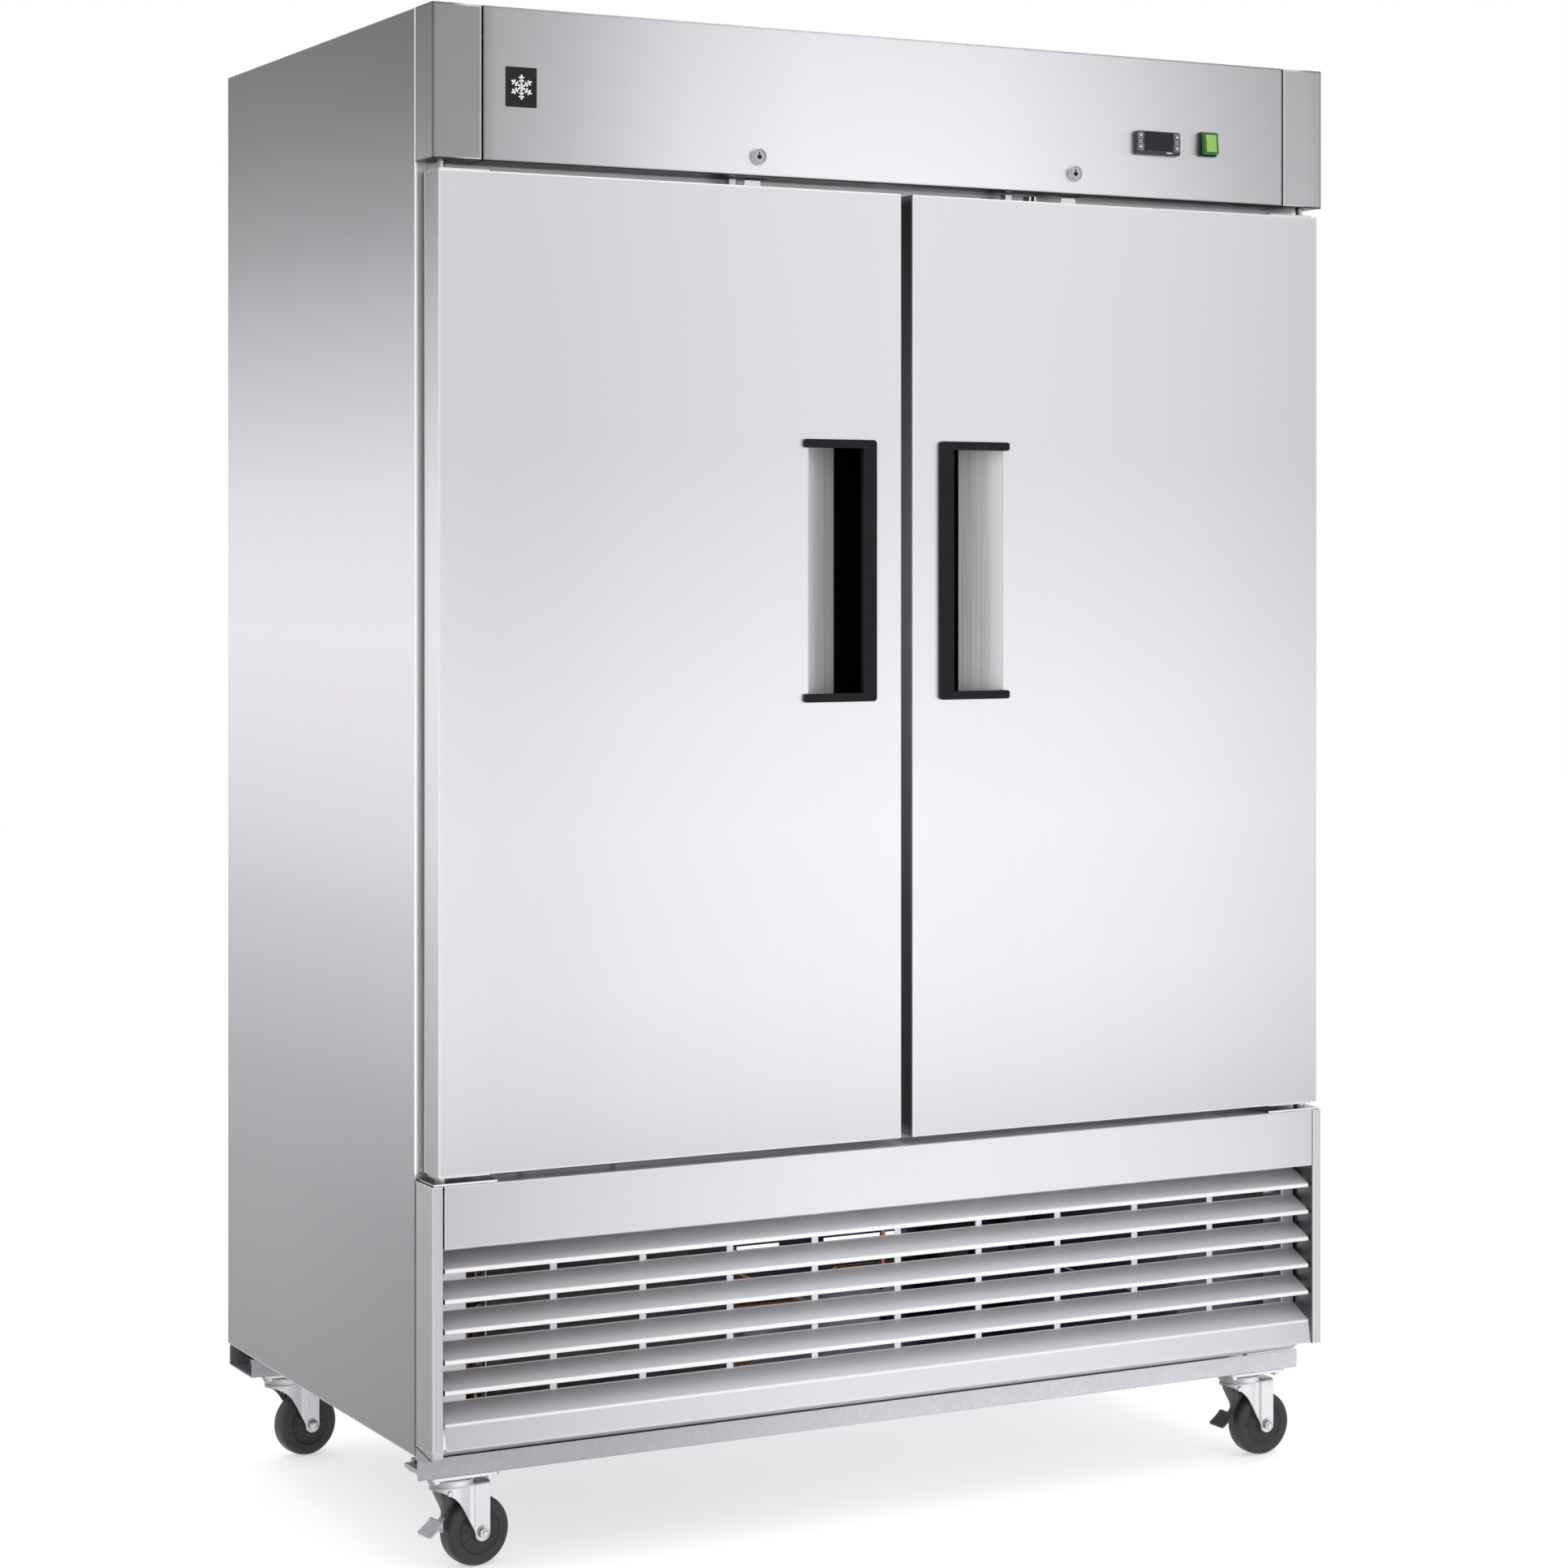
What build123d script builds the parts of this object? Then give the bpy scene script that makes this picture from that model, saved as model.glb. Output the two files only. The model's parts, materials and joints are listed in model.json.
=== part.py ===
"""Two-door stainless reach-in refrigerator on casters, bottom-mounted machine.

Millimetres, +Z up. The origin is on the floor under the middle of the cabinet.
The doors face -Y, and +X is to the right of someone who stands before them.
"""
from build123d import *
import os

# ---------------------------------------------------------------- cabinet
WIDTH = 1372.0  # outside of the side panels
HALF = WIDTH / 2
TOP_Z = 2007.0
FRONT_Y = -391.0  # plane of the header, the doors and the grille
BODY_FRONT_Y = -333.5  # face that the door gaskets close on
BACK_Y = 403.0
BODY_BOTTOM_Z = 164.0
SKIN = 1.2  # outer sheet
LINING = 0.8  # inner sheet
FRONT_FLANGE = 12.0  # width of the side panel's folded front and back edges
BEND = 1.0  # bend radius at the middle of the sheet
BOND = 0.5  # glue line between foam and outer sheet

# ---------------------------------------------------------------- cold space
INSIDE_HALF = 626.0
INSIDE_FLOOR_Z = 560.0
INSIDE_CEILING_Z = 1945.0
INSIDE_BACK_Y = 343.0
OPENING_TOP_Z = 1763.0
DECK_Z = 500.0  # underside of the insulated floor
LINTEL_DEPTH = 48.0
MULLION_HALF = 40.0
MULLION_DEPTH = 48.0

# ---------------------------------------------------------------- doors
DOOR_INNER_X = 8.5
DOOR_OUTER_X = 678.0
DOOR_BOTTOM_Z = 526.0
DOOR_TOP_Z = 1797.0
DOOR_FRONT_Y = -392.0
DOOR_BACK_Y = -345.0
HINGE_X = 665.0
HINGE_Y = -366.0
GASKET_INNER_X = 14.5
GASKET_OUTER_X = 660.0
GASKET_END_INSET = 12.0
GASKET_WIDTH = 18.0
GASKET_GAP = 0.2
PIN_RADIUS = 5.0
PIN_CLEARANCE = 0.06
HINGE_PLATE = 3.0

# ---------------------------------------------------------------- recessed pull
PULL_X = (49.3, 158.5)
PULL_Z = (1115.0, 1465.0)
PULL_BAR = 21.0
PULL_ARM = 11.5
PULL_PROUD = 6.0
SCOOP_INNER_X = 55.5
SCOOP_FLAT_X = 75.0
SCOOP_RADIUS = 111.0
SCOOP_DEPTH = 31.0
SCOOP_Z = (1122.0, 1458.0)
SCOOP_WALL = 1.2
WELL_EDGE_X = 97.0
POCKET_X = (50.0, 156.0)
POCKET_Z = (1112.0, 1468.0)
POCKET_FLOOR_Y = -356.0

# ---------------------------------------------------------------- header
HEADER_BOTTOM_Z = 1810.0
SEAM_X = 618.3
SEAM_GAP = 2.6
LOCKS = {"left": (-226.0, 1836.0), "right": (266.0, 1839.0)}
LOCK_SHAFT_RADIUS = 9.5
LOCK_FACE_RADIUS = 11.0
LOCK_PROUD = 5.5
CAM_REACH = 34.0
STOP_X = {"left": -249.0, "right": 177.0}  # rubber stop blocks on the door tops
CLEVIS_X = 209.5
CONTROLLER_X = (364.5, 437.8)
CONTROLLER_Z = (1871.0, 1904.0)
CONTROLLER_PROUD = 8.0
KEY_X = (371.0, 431.5)
KEY_Z = (1881.0, 1897.5)
KEY_SIZE = (7.6, 6.4)
KEY_PROUD = 0.7
WINDOW_X = (378.0, 425.5)
WINDOW_Z = (1877.0, 1903.0)
SWITCH_X = (473.0, 501.4)
SWITCH_Z = (1873.6, 1908.0)
ROCKER_PROUD = 12.0
ROCKER_TILT = 5.0
BADGE_X = (-586.3, -543.5)
BADGE_Z = (1880.5, 1931.5)

# ---------------------------------------------------------------- grille
GRILLE_TOP_Z = 514.4
GRILLE_BOTTOM_Z = 178.6
STILE_WIDTH = 15.0
FASCIA_BOTTOM_Z = 434.6
SLAT_COUNT = 5
SLAT_PITCH = 38.5
FIRST_NOSE_Z = 402.6
NOSE_HEIGHT = 4.6
NOSE_Y = 5.5  # behind the front plane
SLAT_DEPTH = 43.0
SLAT_RISE = 17.1
TAB_PITCH = 127.8
FIRST_TAB_X = -501.0
TAB_COUNT = 9
TAB_WIDTH = 9.8
SLOT_ENDS_X = (-623.0, 646.0)
APRON_BEND_Z = 212.0
GRILLE_SHEET = 1.0

# ---------------------------------------------------------------- base and casters
RAIL_Z = (131.5, 158.5)
RAIL_HALF = 683.4
RAIL_DEPTH = 100.0
RAIL_SHEET = 2.0
FRONT_RAIL_Y = -335.0
REAR_RAIL_Y = 303.0
CASTER_X = 617.0
FRONT_CASTER_Y = FRONT_RAIL_Y + RAIL_DEPTH / 2
REAR_CASTER_Y = REAR_RAIL_Y + RAIL_DEPTH / 2
CASTERS = {  # swivel axis and the heading of the trailing wheel, in degrees from +X
    "front_left": (-CASTER_X, FRONT_CASTER_Y, 8.0),
    "front_right": (CASTER_X, FRONT_CASTER_Y, 1.0),
    "rear_left": (-CASTER_X, REAR_CASTER_Y, 10.0),
    "rear_right": (CASTER_X, REAR_CASTER_Y, 4.0),
}
WHEEL_RADIUS = 46.0
WHEEL_WIDTH = 30.0
CASTER_TRAIL = 34.0
AXLE_RADIUS = 6.0
CASTER_PLATE = 96.0
CASTER_PLATE_THICK = 4.0
CASTER_BOLT_SPREAD = 37.0
FORK_SHEET = 2.5
FORK_INSIDE = 20.0
FORK_TOP_Z = 113.0
KINGPIN_RADIUS = 6.0
PEDAL_PIVOT = (-14.0, 103.0)  # along the trail, height

# ---------------------------------------------------------------- shelves
SHELF_LEVELS = (860.0, 1160.0, 1460.0)
SHELF_X = (14.0, 612.0)
SHELF_Y = (-262.0, 328.0)
SHELF_EDGE = 7.0
SHELF_WIRE = 4.0
SHELF_WIRE_COUNT = 21
STANDARD_Z = (600.0, 1755.0)
STANDARD_WIDTH = 18.0
STANDARD_DEPTH = 6.0

# ---------------------------------------------------------------- machine
COIL_X = (-560.0, -200.0)
COIL_Y = (-262.0, -202.0)
COIL_Z = (186.0, 446.0)
FAN_X = (COIL_X[0] + COIL_X[1]) / 2
FAN_Z = (COIL_Z[0] + COIL_Z[1]) / 2
FAN_RADIUS = 112.0
COMPRESSOR_X = 330.0
COMPRESSOR_Y = 40.0
PAN_TOP_Z = 164.0
EVAPORATOR_X = 320.0
EVAPORATOR_Y = (-200.0, 340.0)
EVAPORATOR_BOTTOM_Z = 1795.0
EVAPORATOR_FAN_Z = 1868.0
EVAPORATOR_FAN_RADIUS = 60.0


# ---------------------------------------------------------------- helpers
def block(x, y, z):
    """A rectangular block between the low and high value on each axis."""
    size = Box(x[1] - x[0], y[1] - y[0], z[1] - z[0], align=(Align.MIN, Align.MIN, Align.MIN))
    return Pos(x[0], y[0], z[0]) * size


def rod(radius, start, end):
    """A round bar between two points."""
    axis = Vector(*end) - Vector(*start)
    return extrude(Plane(origin=start, z_dir=axis) * Circle(radius), axis.length)


def bent_sheet(points, radius, thickness, plane, length):
    """Folded sheet: its middle line lies in a plane and is pulled along the plane's normal."""
    line = Wire(FilletPolyline(*points, radius=radius).edges())
    outline = line.offset_2d(thickness / 2, kind=Kind.INTERSECTION, side=Side.BOTH)
    return extrude(plane * make_face(outline), length)


def group(*pieces):
    """Separate solids of one sub-part, kept apart."""
    return Compound(children=list(pieces))


def both_sides(piece):
    return group(piece, mirror(piece, Plane.YZ))


def across(low_x):
    """A plane whose local axes are Y and Z, for profiles pulled along +X from low_x."""
    return Plane(origin=(low_x, 0, 0), x_dir=(0, 1, 0), z_dir=(1, 0, 0))


def save(name, shape):
    export_step(shape, f"parts/{name}.step")


# ---------------------------------------------------------------- cabinet shell
def side_panels():
    """One folded sheet on each side, with narrow front and back edges turned inwards."""
    edge = SKIN / 2
    inner = HALF - FRONT_FLANGE + edge
    outer = HALF - edge
    front = BODY_FRONT_Y + edge
    back = BACK_Y - edge
    outline = [(inner, front), (outer, front), (outer, back), (inner, back)]
    plane = Plane(origin=(0, 0, BODY_BOTTOM_Z))
    panel = bent_sheet(outline, BEND, SKIN, plane, TOP_Z - BODY_BOTTOM_Z)
    return both_sides(panel)


def top_panel():
    x = HALF - SKIN - BOND
    return block((-x, x), (BODY_FRONT_Y + SKIN, BACK_Y - SKIN), (TOP_Z - SKIN, TOP_Z))


def rear_panel():
    """Back sheet. Rows of slots at its foot let warm air out of the machine space."""
    x = HALF - FRONT_FLANGE
    sheet = block((-x, x), (BACK_Y - SKIN, BACK_Y), (BODY_BOTTOM_Z, TOP_Z))
    slot_length, slot_height, rows, columns = 180.0, 8.0, 9, 4
    slots = []
    for row in range(rows):
        for column in range(columns):
            centre_x = (column - (columns - 1) / 2) * 260.0
            low_z = 220.0 + row * 26.0
            slots.append(block((centre_x - slot_length / 2, centre_x + slot_length / 2),
                               (BACK_Y - 5, BACK_Y + 5), (low_z, low_z + slot_height)))
    return sheet - slots


def face_frame():
    """Strips round the two door openings, and the hollow post between the doors."""
    depth = (BODY_FRONT_Y, BODY_FRONT_Y + SKIN)
    jamb_x = (INSIDE_HALF, HALF - FRONT_FLANGE)
    inside = (-INSIDE_HALF, INSIDE_HALF)
    jamb = block(jamb_x, depth, (BODY_BOTTOM_Z, TOP_Z))
    head = block(inside, depth, (OPENING_TOP_Z, TOP_Z))
    sill = block(inside, depth, (DECK_Z - 10, INSIDE_FLOOR_Z))
    foot = block(inside, depth, (BODY_BOTTOM_Z, BODY_BOTTOM_Z + 16))
    wall = 1.5
    post = block((-MULLION_HALF, MULLION_HALF),
                 (BODY_FRONT_Y, BODY_FRONT_Y + MULLION_DEPTH), (INSIDE_FLOOR_Z, OPENING_TOP_Z))
    post -= block((wall - MULLION_HALF, MULLION_HALF - wall),
                  (BODY_FRONT_Y + wall, BODY_FRONT_Y + MULLION_DEPTH - wall),
                  (INSIDE_FLOOR_Z + wall, OPENING_TOP_Z - wall))
    return group(jamb, mirror(jamb, Plane.YZ), head, sill, foot, post)


def insulation():
    """Rigid foam slabs between the outer sheets and the lining."""
    outer_x = HALF - SKIN - BOND
    lining_x = INSIDE_HALF + LINING
    front = BODY_FRONT_Y + SKIN + BOND
    back = BACK_Y - SKIN - BOND
    lining_y = INSIDE_BACK_Y + LINING
    roof = TOP_Z - SKIN - BOND
    lining_z = INSIDE_CEILING_Z + LINING
    wall = block((lining_x, outer_x), (front, back), (DECK_Z, roof))
    middle = (-lining_x, lining_x)
    rear = block(middle, (lining_y, back), (DECK_Z, roof))
    ceiling = block(middle, (front, lining_y), (lining_z, roof))
    floor = block(middle, (front, lining_y), (DECK_Z, INSIDE_FLOOR_Z - LINING))
    lintel = block((-INSIDE_HALF, INSIDE_HALF), (front, BODY_FRONT_Y + LINTEL_DEPTH - LINING),
                   (OPENING_TOP_Z + LINING, lining_z))
    return group(wall, mirror(wall, Plane.YZ), rear, ceiling, floor, lintel)


def inner_liner():
    """Sheets that line the cold space, and the tray under the insulated floor."""
    front = BODY_FRONT_Y + SKIN + BOND
    x = (-INSIDE_HALF, INSIDE_HALF)
    wide = (-INSIDE_HALF - LINING, INSIDE_HALF + LINING)
    high = (INSIDE_FLOOR_Z, INSIDE_CEILING_Z)
    side = block((INSIDE_HALF, INSIDE_HALF + LINING), (front, INSIDE_BACK_Y), high)
    back = block(wide, (INSIDE_BACK_Y, INSIDE_BACK_Y + LINING), high)
    floor = block(wide, (front, INSIDE_BACK_Y + LINING), (INSIDE_FLOOR_Z - LINING, INSIDE_FLOOR_Z))
    ceiling = block(wide, (BODY_FRONT_Y + LINTEL_DEPTH, INSIDE_BACK_Y + LINING),
                    (INSIDE_CEILING_Z, INSIDE_CEILING_Z + LINING))
    lintel_y = (BODY_FRONT_Y + LINTEL_DEPTH - LINING, BODY_FRONT_Y + LINTEL_DEPTH)
    lintel_back = block(x, lintel_y, (OPENING_TOP_Z + LINING, INSIDE_CEILING_Z))
    lintel_foot = block(x, (front, lintel_y[1]), (OPENING_TOP_Z, OPENING_TOP_Z + LINING))
    outer_x = HALF - SKIN - BOND
    deck = block((-outer_x, outer_x), (front, BACK_Y - SKIN - BOND), (DECK_Z - LINING, DECK_Z))
    return group(side, mirror(side, Plane.YZ), back, floor, ceiling, lintel_back, lintel_foot, deck)


# ---------------------------------------------------------------- base
def base_pan():
    """Flat floor of the machine space, with edges folded down onto the rails."""
    sheet = 1.5
    x = HALF - SKIN - BOND
    pan_y = (BODY_FRONT_Y + 4, BACK_Y - 4)
    plate = block((-x, x), pan_y, (PAN_TOP_Z - sheet, PAN_TOP_Z))
    for low, high in ((pan_y[0], pan_y[0] + sheet), (pan_y[1] - sheet, pan_y[1])):
        plate += block((-x, x), (low, high), (RAIL_Z[1], PAN_TOP_Z))
    return plate


def base_rails():
    """Front and rear galvanised channels that the casters bolt to."""
    edge = RAIL_SHEET / 2
    rails = []
    for low_y, casters_y in ((FRONT_RAIL_Y, FRONT_CASTER_Y), (REAR_RAIL_Y, REAR_CASTER_Y)):
        outline = [(low_y + edge, RAIL_Z[1] - edge), (low_y + edge, RAIL_Z[0] + edge),
                   (low_y + RAIL_DEPTH - edge, RAIL_Z[0] + edge),
                   (low_y + RAIL_DEPTH - edge, RAIL_Z[1] - edge)]
        rail = bent_sheet(outline, 2.0, RAIL_SHEET, across(-RAIL_HALF), 2 * RAIL_HALF)
        for x in (-CASTER_X, CASTER_X):
            rail -= caster_bolt_holes(x, casters_y, RAIL_Z[0] - 1, RAIL_Z[0] + 10)
        rails.append(rail)
    return group(*rails)


def caster_bolt_places(x, y):
    spread = (-CASTER_BOLT_SPREAD, CASTER_BOLT_SPREAD)
    return [(x + dx, y + dy) for dx in spread for dy in spread]


def caster_bolt_holes(x, y, low_z, high_z):
    radius = 4.3
    return [rod(radius, (px, py, low_z), (px, py, high_z)) for px, py in caster_bolt_places(x, y)]


# ---------------------------------------------------------------- header
def header_panels():
    """Folded centre panel and two corner covers, with a narrow joint between them."""
    edge = SKIN / 2
    back = BODY_FRONT_Y - edge - 0.1
    centre_half = SEAM_X - SEAM_GAP / 2
    outline = [(back, TOP_Z - edge), (FRONT_Y + edge, TOP_Z - edge),
               (FRONT_Y + edge, HEADER_BOTTOM_Z + edge), (back, HEADER_BOTTOM_Z + edge)]
    fascia = bent_sheet(outline, BEND, SKIN, across(-centre_half), 2 * centre_half)
    through = (FRONT_Y - 5, FRONT_Y + 5)
    for x, z in LOCKS.values():
        radius = LOCK_SHAFT_RADIUS + PIN_CLEARANCE
        fascia -= rod(radius, (x, through[0], z), (x, through[1], z))
        fascia -= block((x - 8, x + CAM_REACH - 8), (FRONT_Y + 20, FRONT_Y + 32),
                        (HEADER_BOTTOM_Z - 2, HEADER_BOTTOM_Z + 4))
    fascia -= control_body(CONTROLLER_X, CONTROLLER_Z, through, -2.0)
    fascia -= control_body(SWITCH_X, SWITCH_Z, through, -2.5)

    corner = block((SEAM_X + SEAM_GAP / 2, HALF), (FRONT_Y, BODY_FRONT_Y), (HEADER_BOTTOM_Z, TOP_Z))
    corner = fillet(corner.edges().filter_by(Axis.Z).group_by(Axis.Y)[0].sort_by(Axis.X)[-1], 1.5)
    corner -= block((0, HALF - SKIN), (FRONT_Y + SKIN, BODY_FRONT_Y + 1),
                    (HEADER_BOTTOM_Z + SKIN, TOP_Z - SKIN))
    pin_room = 7.5
    corner -= rod(pin_room, (HINGE_X, HINGE_Y, HEADER_BOTTOM_Z - 2), (HINGE_X, HINGE_Y, HEADER_BOTTOM_Z + 4))
    return group(fascia, corner, mirror(corner, Plane.YZ))


def control_body(x, z, y, grow):
    return block((x[0] - grow, x[1] + grow), y, (z[0] - grow, z[1] + grow))


def badge():
    """Blank plate with a raised border and a plain raised diamond."""
    plate = block(BADGE_X, (FRONT_Y - 1.2, FRONT_Y), BADGE_Z)
    plate = fillet(plate.edges().filter_by(Axis.Y), 3.0)
    centre = ((BADGE_X[0] + BADGE_X[1]) / 2, (BADGE_Z[0] + BADGE_Z[1]) / 2)
    facing = Plane(origin=(centre[0], FRONT_Y - 1.2, centre[1]), x_dir=(1, 0, 0), z_dir=(0, -1, 0))
    width = BADGE_X[1] - BADGE_X[0]
    height = BADGE_Z[1] - BADGE_Z[0]
    border = RectangleRounded(width - 3, height - 3, 2.2) - RectangleRounded(width - 6, height - 6, 1.5)
    diamond = RegularPolygon(11.0, 4) - RegularPolygon(7.0, 4)
    return plate + extrude(facing * border, 0.5) + extrude(facing * diamond, 0.5)


def controller_housing():
    """Bezel and body of the electronic thermostat, with wells for its keys and window."""
    front = FRONT_Y - CONTROLLER_PROUD
    bezel = block(CONTROLLER_X, (front, FRONT_Y), CONTROLLER_Z)
    bezel = fillet(bezel.edges().filter_by(Axis.Y), 4.0)
    bezel = fillet(bezel.faces().sort_by(Axis.Y)[0].edges(), 1.2)
    body = control_body(CONTROLLER_X, CONTROLLER_Z, (FRONT_Y, FRONT_Y + 50), -2.3)
    housing = bezel + body
    well = 0.25
    for x in KEY_X:
        for z in KEY_Z:
            housing -= block((x - KEY_SIZE[0] / 2 - well, x + KEY_SIZE[0] / 2 + well),
                             (front - 1, front + 3.5),
                             (z - KEY_SIZE[1] / 2 - well, z + KEY_SIZE[1] / 2 + well))
    housing -= block(WINDOW_X, (front - 1, front + 0.6), WINDOW_Z)
    return housing


def controller_key(x, z):
    """One push key, slightly crowned, sitting in its well."""
    front = FRONT_Y - CONTROLLER_PROUD - KEY_PROUD
    key = block((x - KEY_SIZE[0] / 2, x + KEY_SIZE[0] / 2), (front, front + 3.2),
                (z - KEY_SIZE[1] / 2, z + KEY_SIZE[1] / 2))
    key = fillet(key.edges().filter_by(Axis.Y), 1.0)
    return fillet(key.faces().sort_by(Axis.Y)[0].edges(), 0.35)


ROCKER_PIVOT_Y = FRONT_Y - 5.0
ROCKER_CENTRE_Z = (SWITCH_Z[0] + SWITCH_Z[1]) / 2


def switch_housing():
    """Base of the power switch, with a pocket and a pivot pin for the rocker."""
    base_front = FRONT_Y - 5.0
    base = block(SWITCH_X, (base_front, FRONT_Y), SWITCH_Z)
    base = fillet(base.edges().filter_by(Axis.Y), 3.0)
    base += control_body(SWITCH_X, SWITCH_Z, (FRONT_Y, FRONT_Y + 28), -2.8)
    middle = (SWITCH_X[0] + SWITCH_X[1]) / 2
    base -= block((middle - 7, middle + 7), (base_front - 1, base_front + 5),
                  (ROCKER_CENTRE_Z - 5, ROCKER_CENTRE_Z + 5))
    pin = rod(1.0, (middle - 8, ROCKER_PIVOT_Y + 1.5, ROCKER_CENTRE_Z),
              (middle + 8, ROCKER_PIVOT_Y + 1.5, ROCKER_CENTRE_Z))
    return base + pin


def rocker():
    """Lit paddle of the power switch, resting in its on position."""
    middle = (SWITCH_X[0] + SWITCH_X[1]) / 2
    pivot = (middle, ROCKER_PIVOT_Y + 1.5, ROCKER_CENTRE_Z)
    front = FRONT_Y - ROCKER_PROUD
    paddle = block((middle - 13, middle + 13), (front + 0.9, front + 5.0),
                   (ROCKER_CENTRE_Z - 15.5, ROCKER_CENTRE_Z + 15.5))
    paddle = fillet(paddle.edges().filter_by(Axis.Y), 2.5)
    paddle = fillet(paddle.faces().sort_by(Axis.Y)[0].edges(), 1.2)
    neck = block((middle - 5, middle + 5), (front + 4.5, pivot[1]),
                 (ROCKER_CENTRE_Z - 2.2, ROCKER_CENTRE_Z + 2.2))
    hub = rod(2.4, (middle - 5, pivot[1], pivot[2]), (middle + 5, pivot[1], pivot[2]))
    bore = rod(1.0 + PIN_CLEARANCE / 2, (middle - 6, pivot[1], pivot[2]), (middle + 6, pivot[1], pivot[2]))
    turn = Pos(*pivot) * Rot(-ROCKER_TILT, 0, 0) * Pos(*(-value for value in pivot))
    return turn * (paddle + neck + hub - bore)


def lock(name):
    """Cam lock: key disc, barrel and the cam on its tail, which lies level when unlocked."""
    x, z = LOCKS[name]
    face = rod(LOCK_FACE_RADIUS, (x, FRONT_Y - LOCK_PROUD, z), (x, FRONT_Y, z))
    face = chamfer(face.edges().sort_by(Axis.Y)[0], 1.0)
    barrel = rod(LOCK_SHAFT_RADIUS, (x, FRONT_Y, z), (x, FRONT_Y + 26, z))
    cam = block((x - 6, x + CAM_REACH), (FRONT_Y + 24, FRONT_Y + 27), (z - 6, z + 6))
    slot_depth = 3.0
    facing = Plane(origin=(x, FRONT_Y - LOCK_PROUD + slot_depth, z), x_dir=(1, 0, 0), z_dir=(0, -1, 0))
    key_slot = Pos(0, 1.5) * Rectangle(2.2, 9.0) + Pos(0, -1.8) * Rectangle(8.0, 2.4)
    return face + barrel + cam - extrude(facing * key_slot, slot_depth + 1)


# ---------------------------------------------------------------- grille
def grille_stiles():
    """Folded posts at both ends of the grille."""
    edge = SKIN / 2
    inner = HALF - STILE_WIDTH + edge
    outer = HALF - edge
    outline = [(outer, BODY_FRONT_Y - edge), (outer, FRONT_Y + edge),
               (inner, FRONT_Y + edge), (inner, FRONT_Y + 42)]
    plane = Plane(origin=(0, 0, GRILLE_BOTTOM_Z))
    stile = bent_sheet(outline, 1.4, SKIN, plane, GRILLE_TOP_Z - GRILLE_BOTTOM_Z)
    return both_sides(stile)


def louvre_panel():
    """One pressed sheet: plain band, five sloping slats and a foot, with slots at the back."""
    edge = GRILLE_SHEET / 2
    back = FRONT_Y + SLAT_DEPTH
    front = FRONT_Y + edge
    outline = [(BODY_FRONT_Y - 1, GRILLE_TOP_Z - edge), (front, GRILLE_TOP_Z - edge),
               (front, FASCIA_BOTTOM_Z + edge), (back, FASCIA_BOTTOM_Z + edge)]
    radii = [1.2, 1.2, 1.0]
    slot_bands = []
    upper = FASCIA_BOTTOM_Z
    for slat in range(SLAT_COUNT):
        low = FIRST_NOSE_Z - slat * SLAT_PITCH + edge
        slope_top = low + NOSE_HEIGHT + SLAT_RISE
        outline += [(back, slope_top), (FRONT_Y + NOSE_Y, low + NOSE_HEIGHT),
                    (FRONT_Y + NOSE_Y, low), (back, low)]
        radii += [1.0, 2.2, 2.2, 1.0]
        slot_bands.append((slope_top + 1.5, upper))
        upper = low - edge
    foot_top = upper - SLAT_PITCH + NOSE_HEIGHT + SLAT_RISE
    outline += [(back, foot_top), (FRONT_Y + NOSE_Y, APRON_BEND_Z), (front, GRILLE_BOTTOM_Z + 2),
                (FRONT_Y + 9, GRILLE_BOTTOM_Z + 1)]
    radii += [1.0, 2.0, 1.0]
    slot_bands.append((foot_top + 1.5, upper))

    half = HALF - STILE_WIDTH - 1.5
    sheet = bent_sheet(outline, radii, GRILLE_SHEET, across(-half), 2 * half)
    tab_edges = [SLOT_ENDS_X[0]]
    for tab in range(TAB_COUNT):
        centre = FIRST_TAB_X + tab * TAB_PITCH
        tab_edges += [centre - TAB_WIDTH / 2, centre + TAB_WIDTH / 2]
    tab_edges.append(SLOT_ENDS_X[1])
    cuts = []
    for low_z, high_z in slot_bands:
        for low_x, high_x in zip(tab_edges[::2], tab_edges[1::2]):
            cuts.append(block((low_x, high_x), (back - 1, back + 1), (low_z, high_z)))
    end_gap = 2.5
    for side in (-1, 1):
        ends = sorted((side * (half - end_gap), side * (half + 1)))
        cuts.append(block(ends, (FRONT_Y - 1, back + 2), (GRILLE_BOTTOM_Z - 1, FASCIA_BOTTOM_Z - 1)))
        cuts.append(rod(7.5, (side * HINGE_X, HINGE_Y, GRILLE_TOP_Z - 3),
                        (side * HINGE_X, HINGE_Y, GRILLE_TOP_Z + 1)))
    return sheet - cuts


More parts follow.
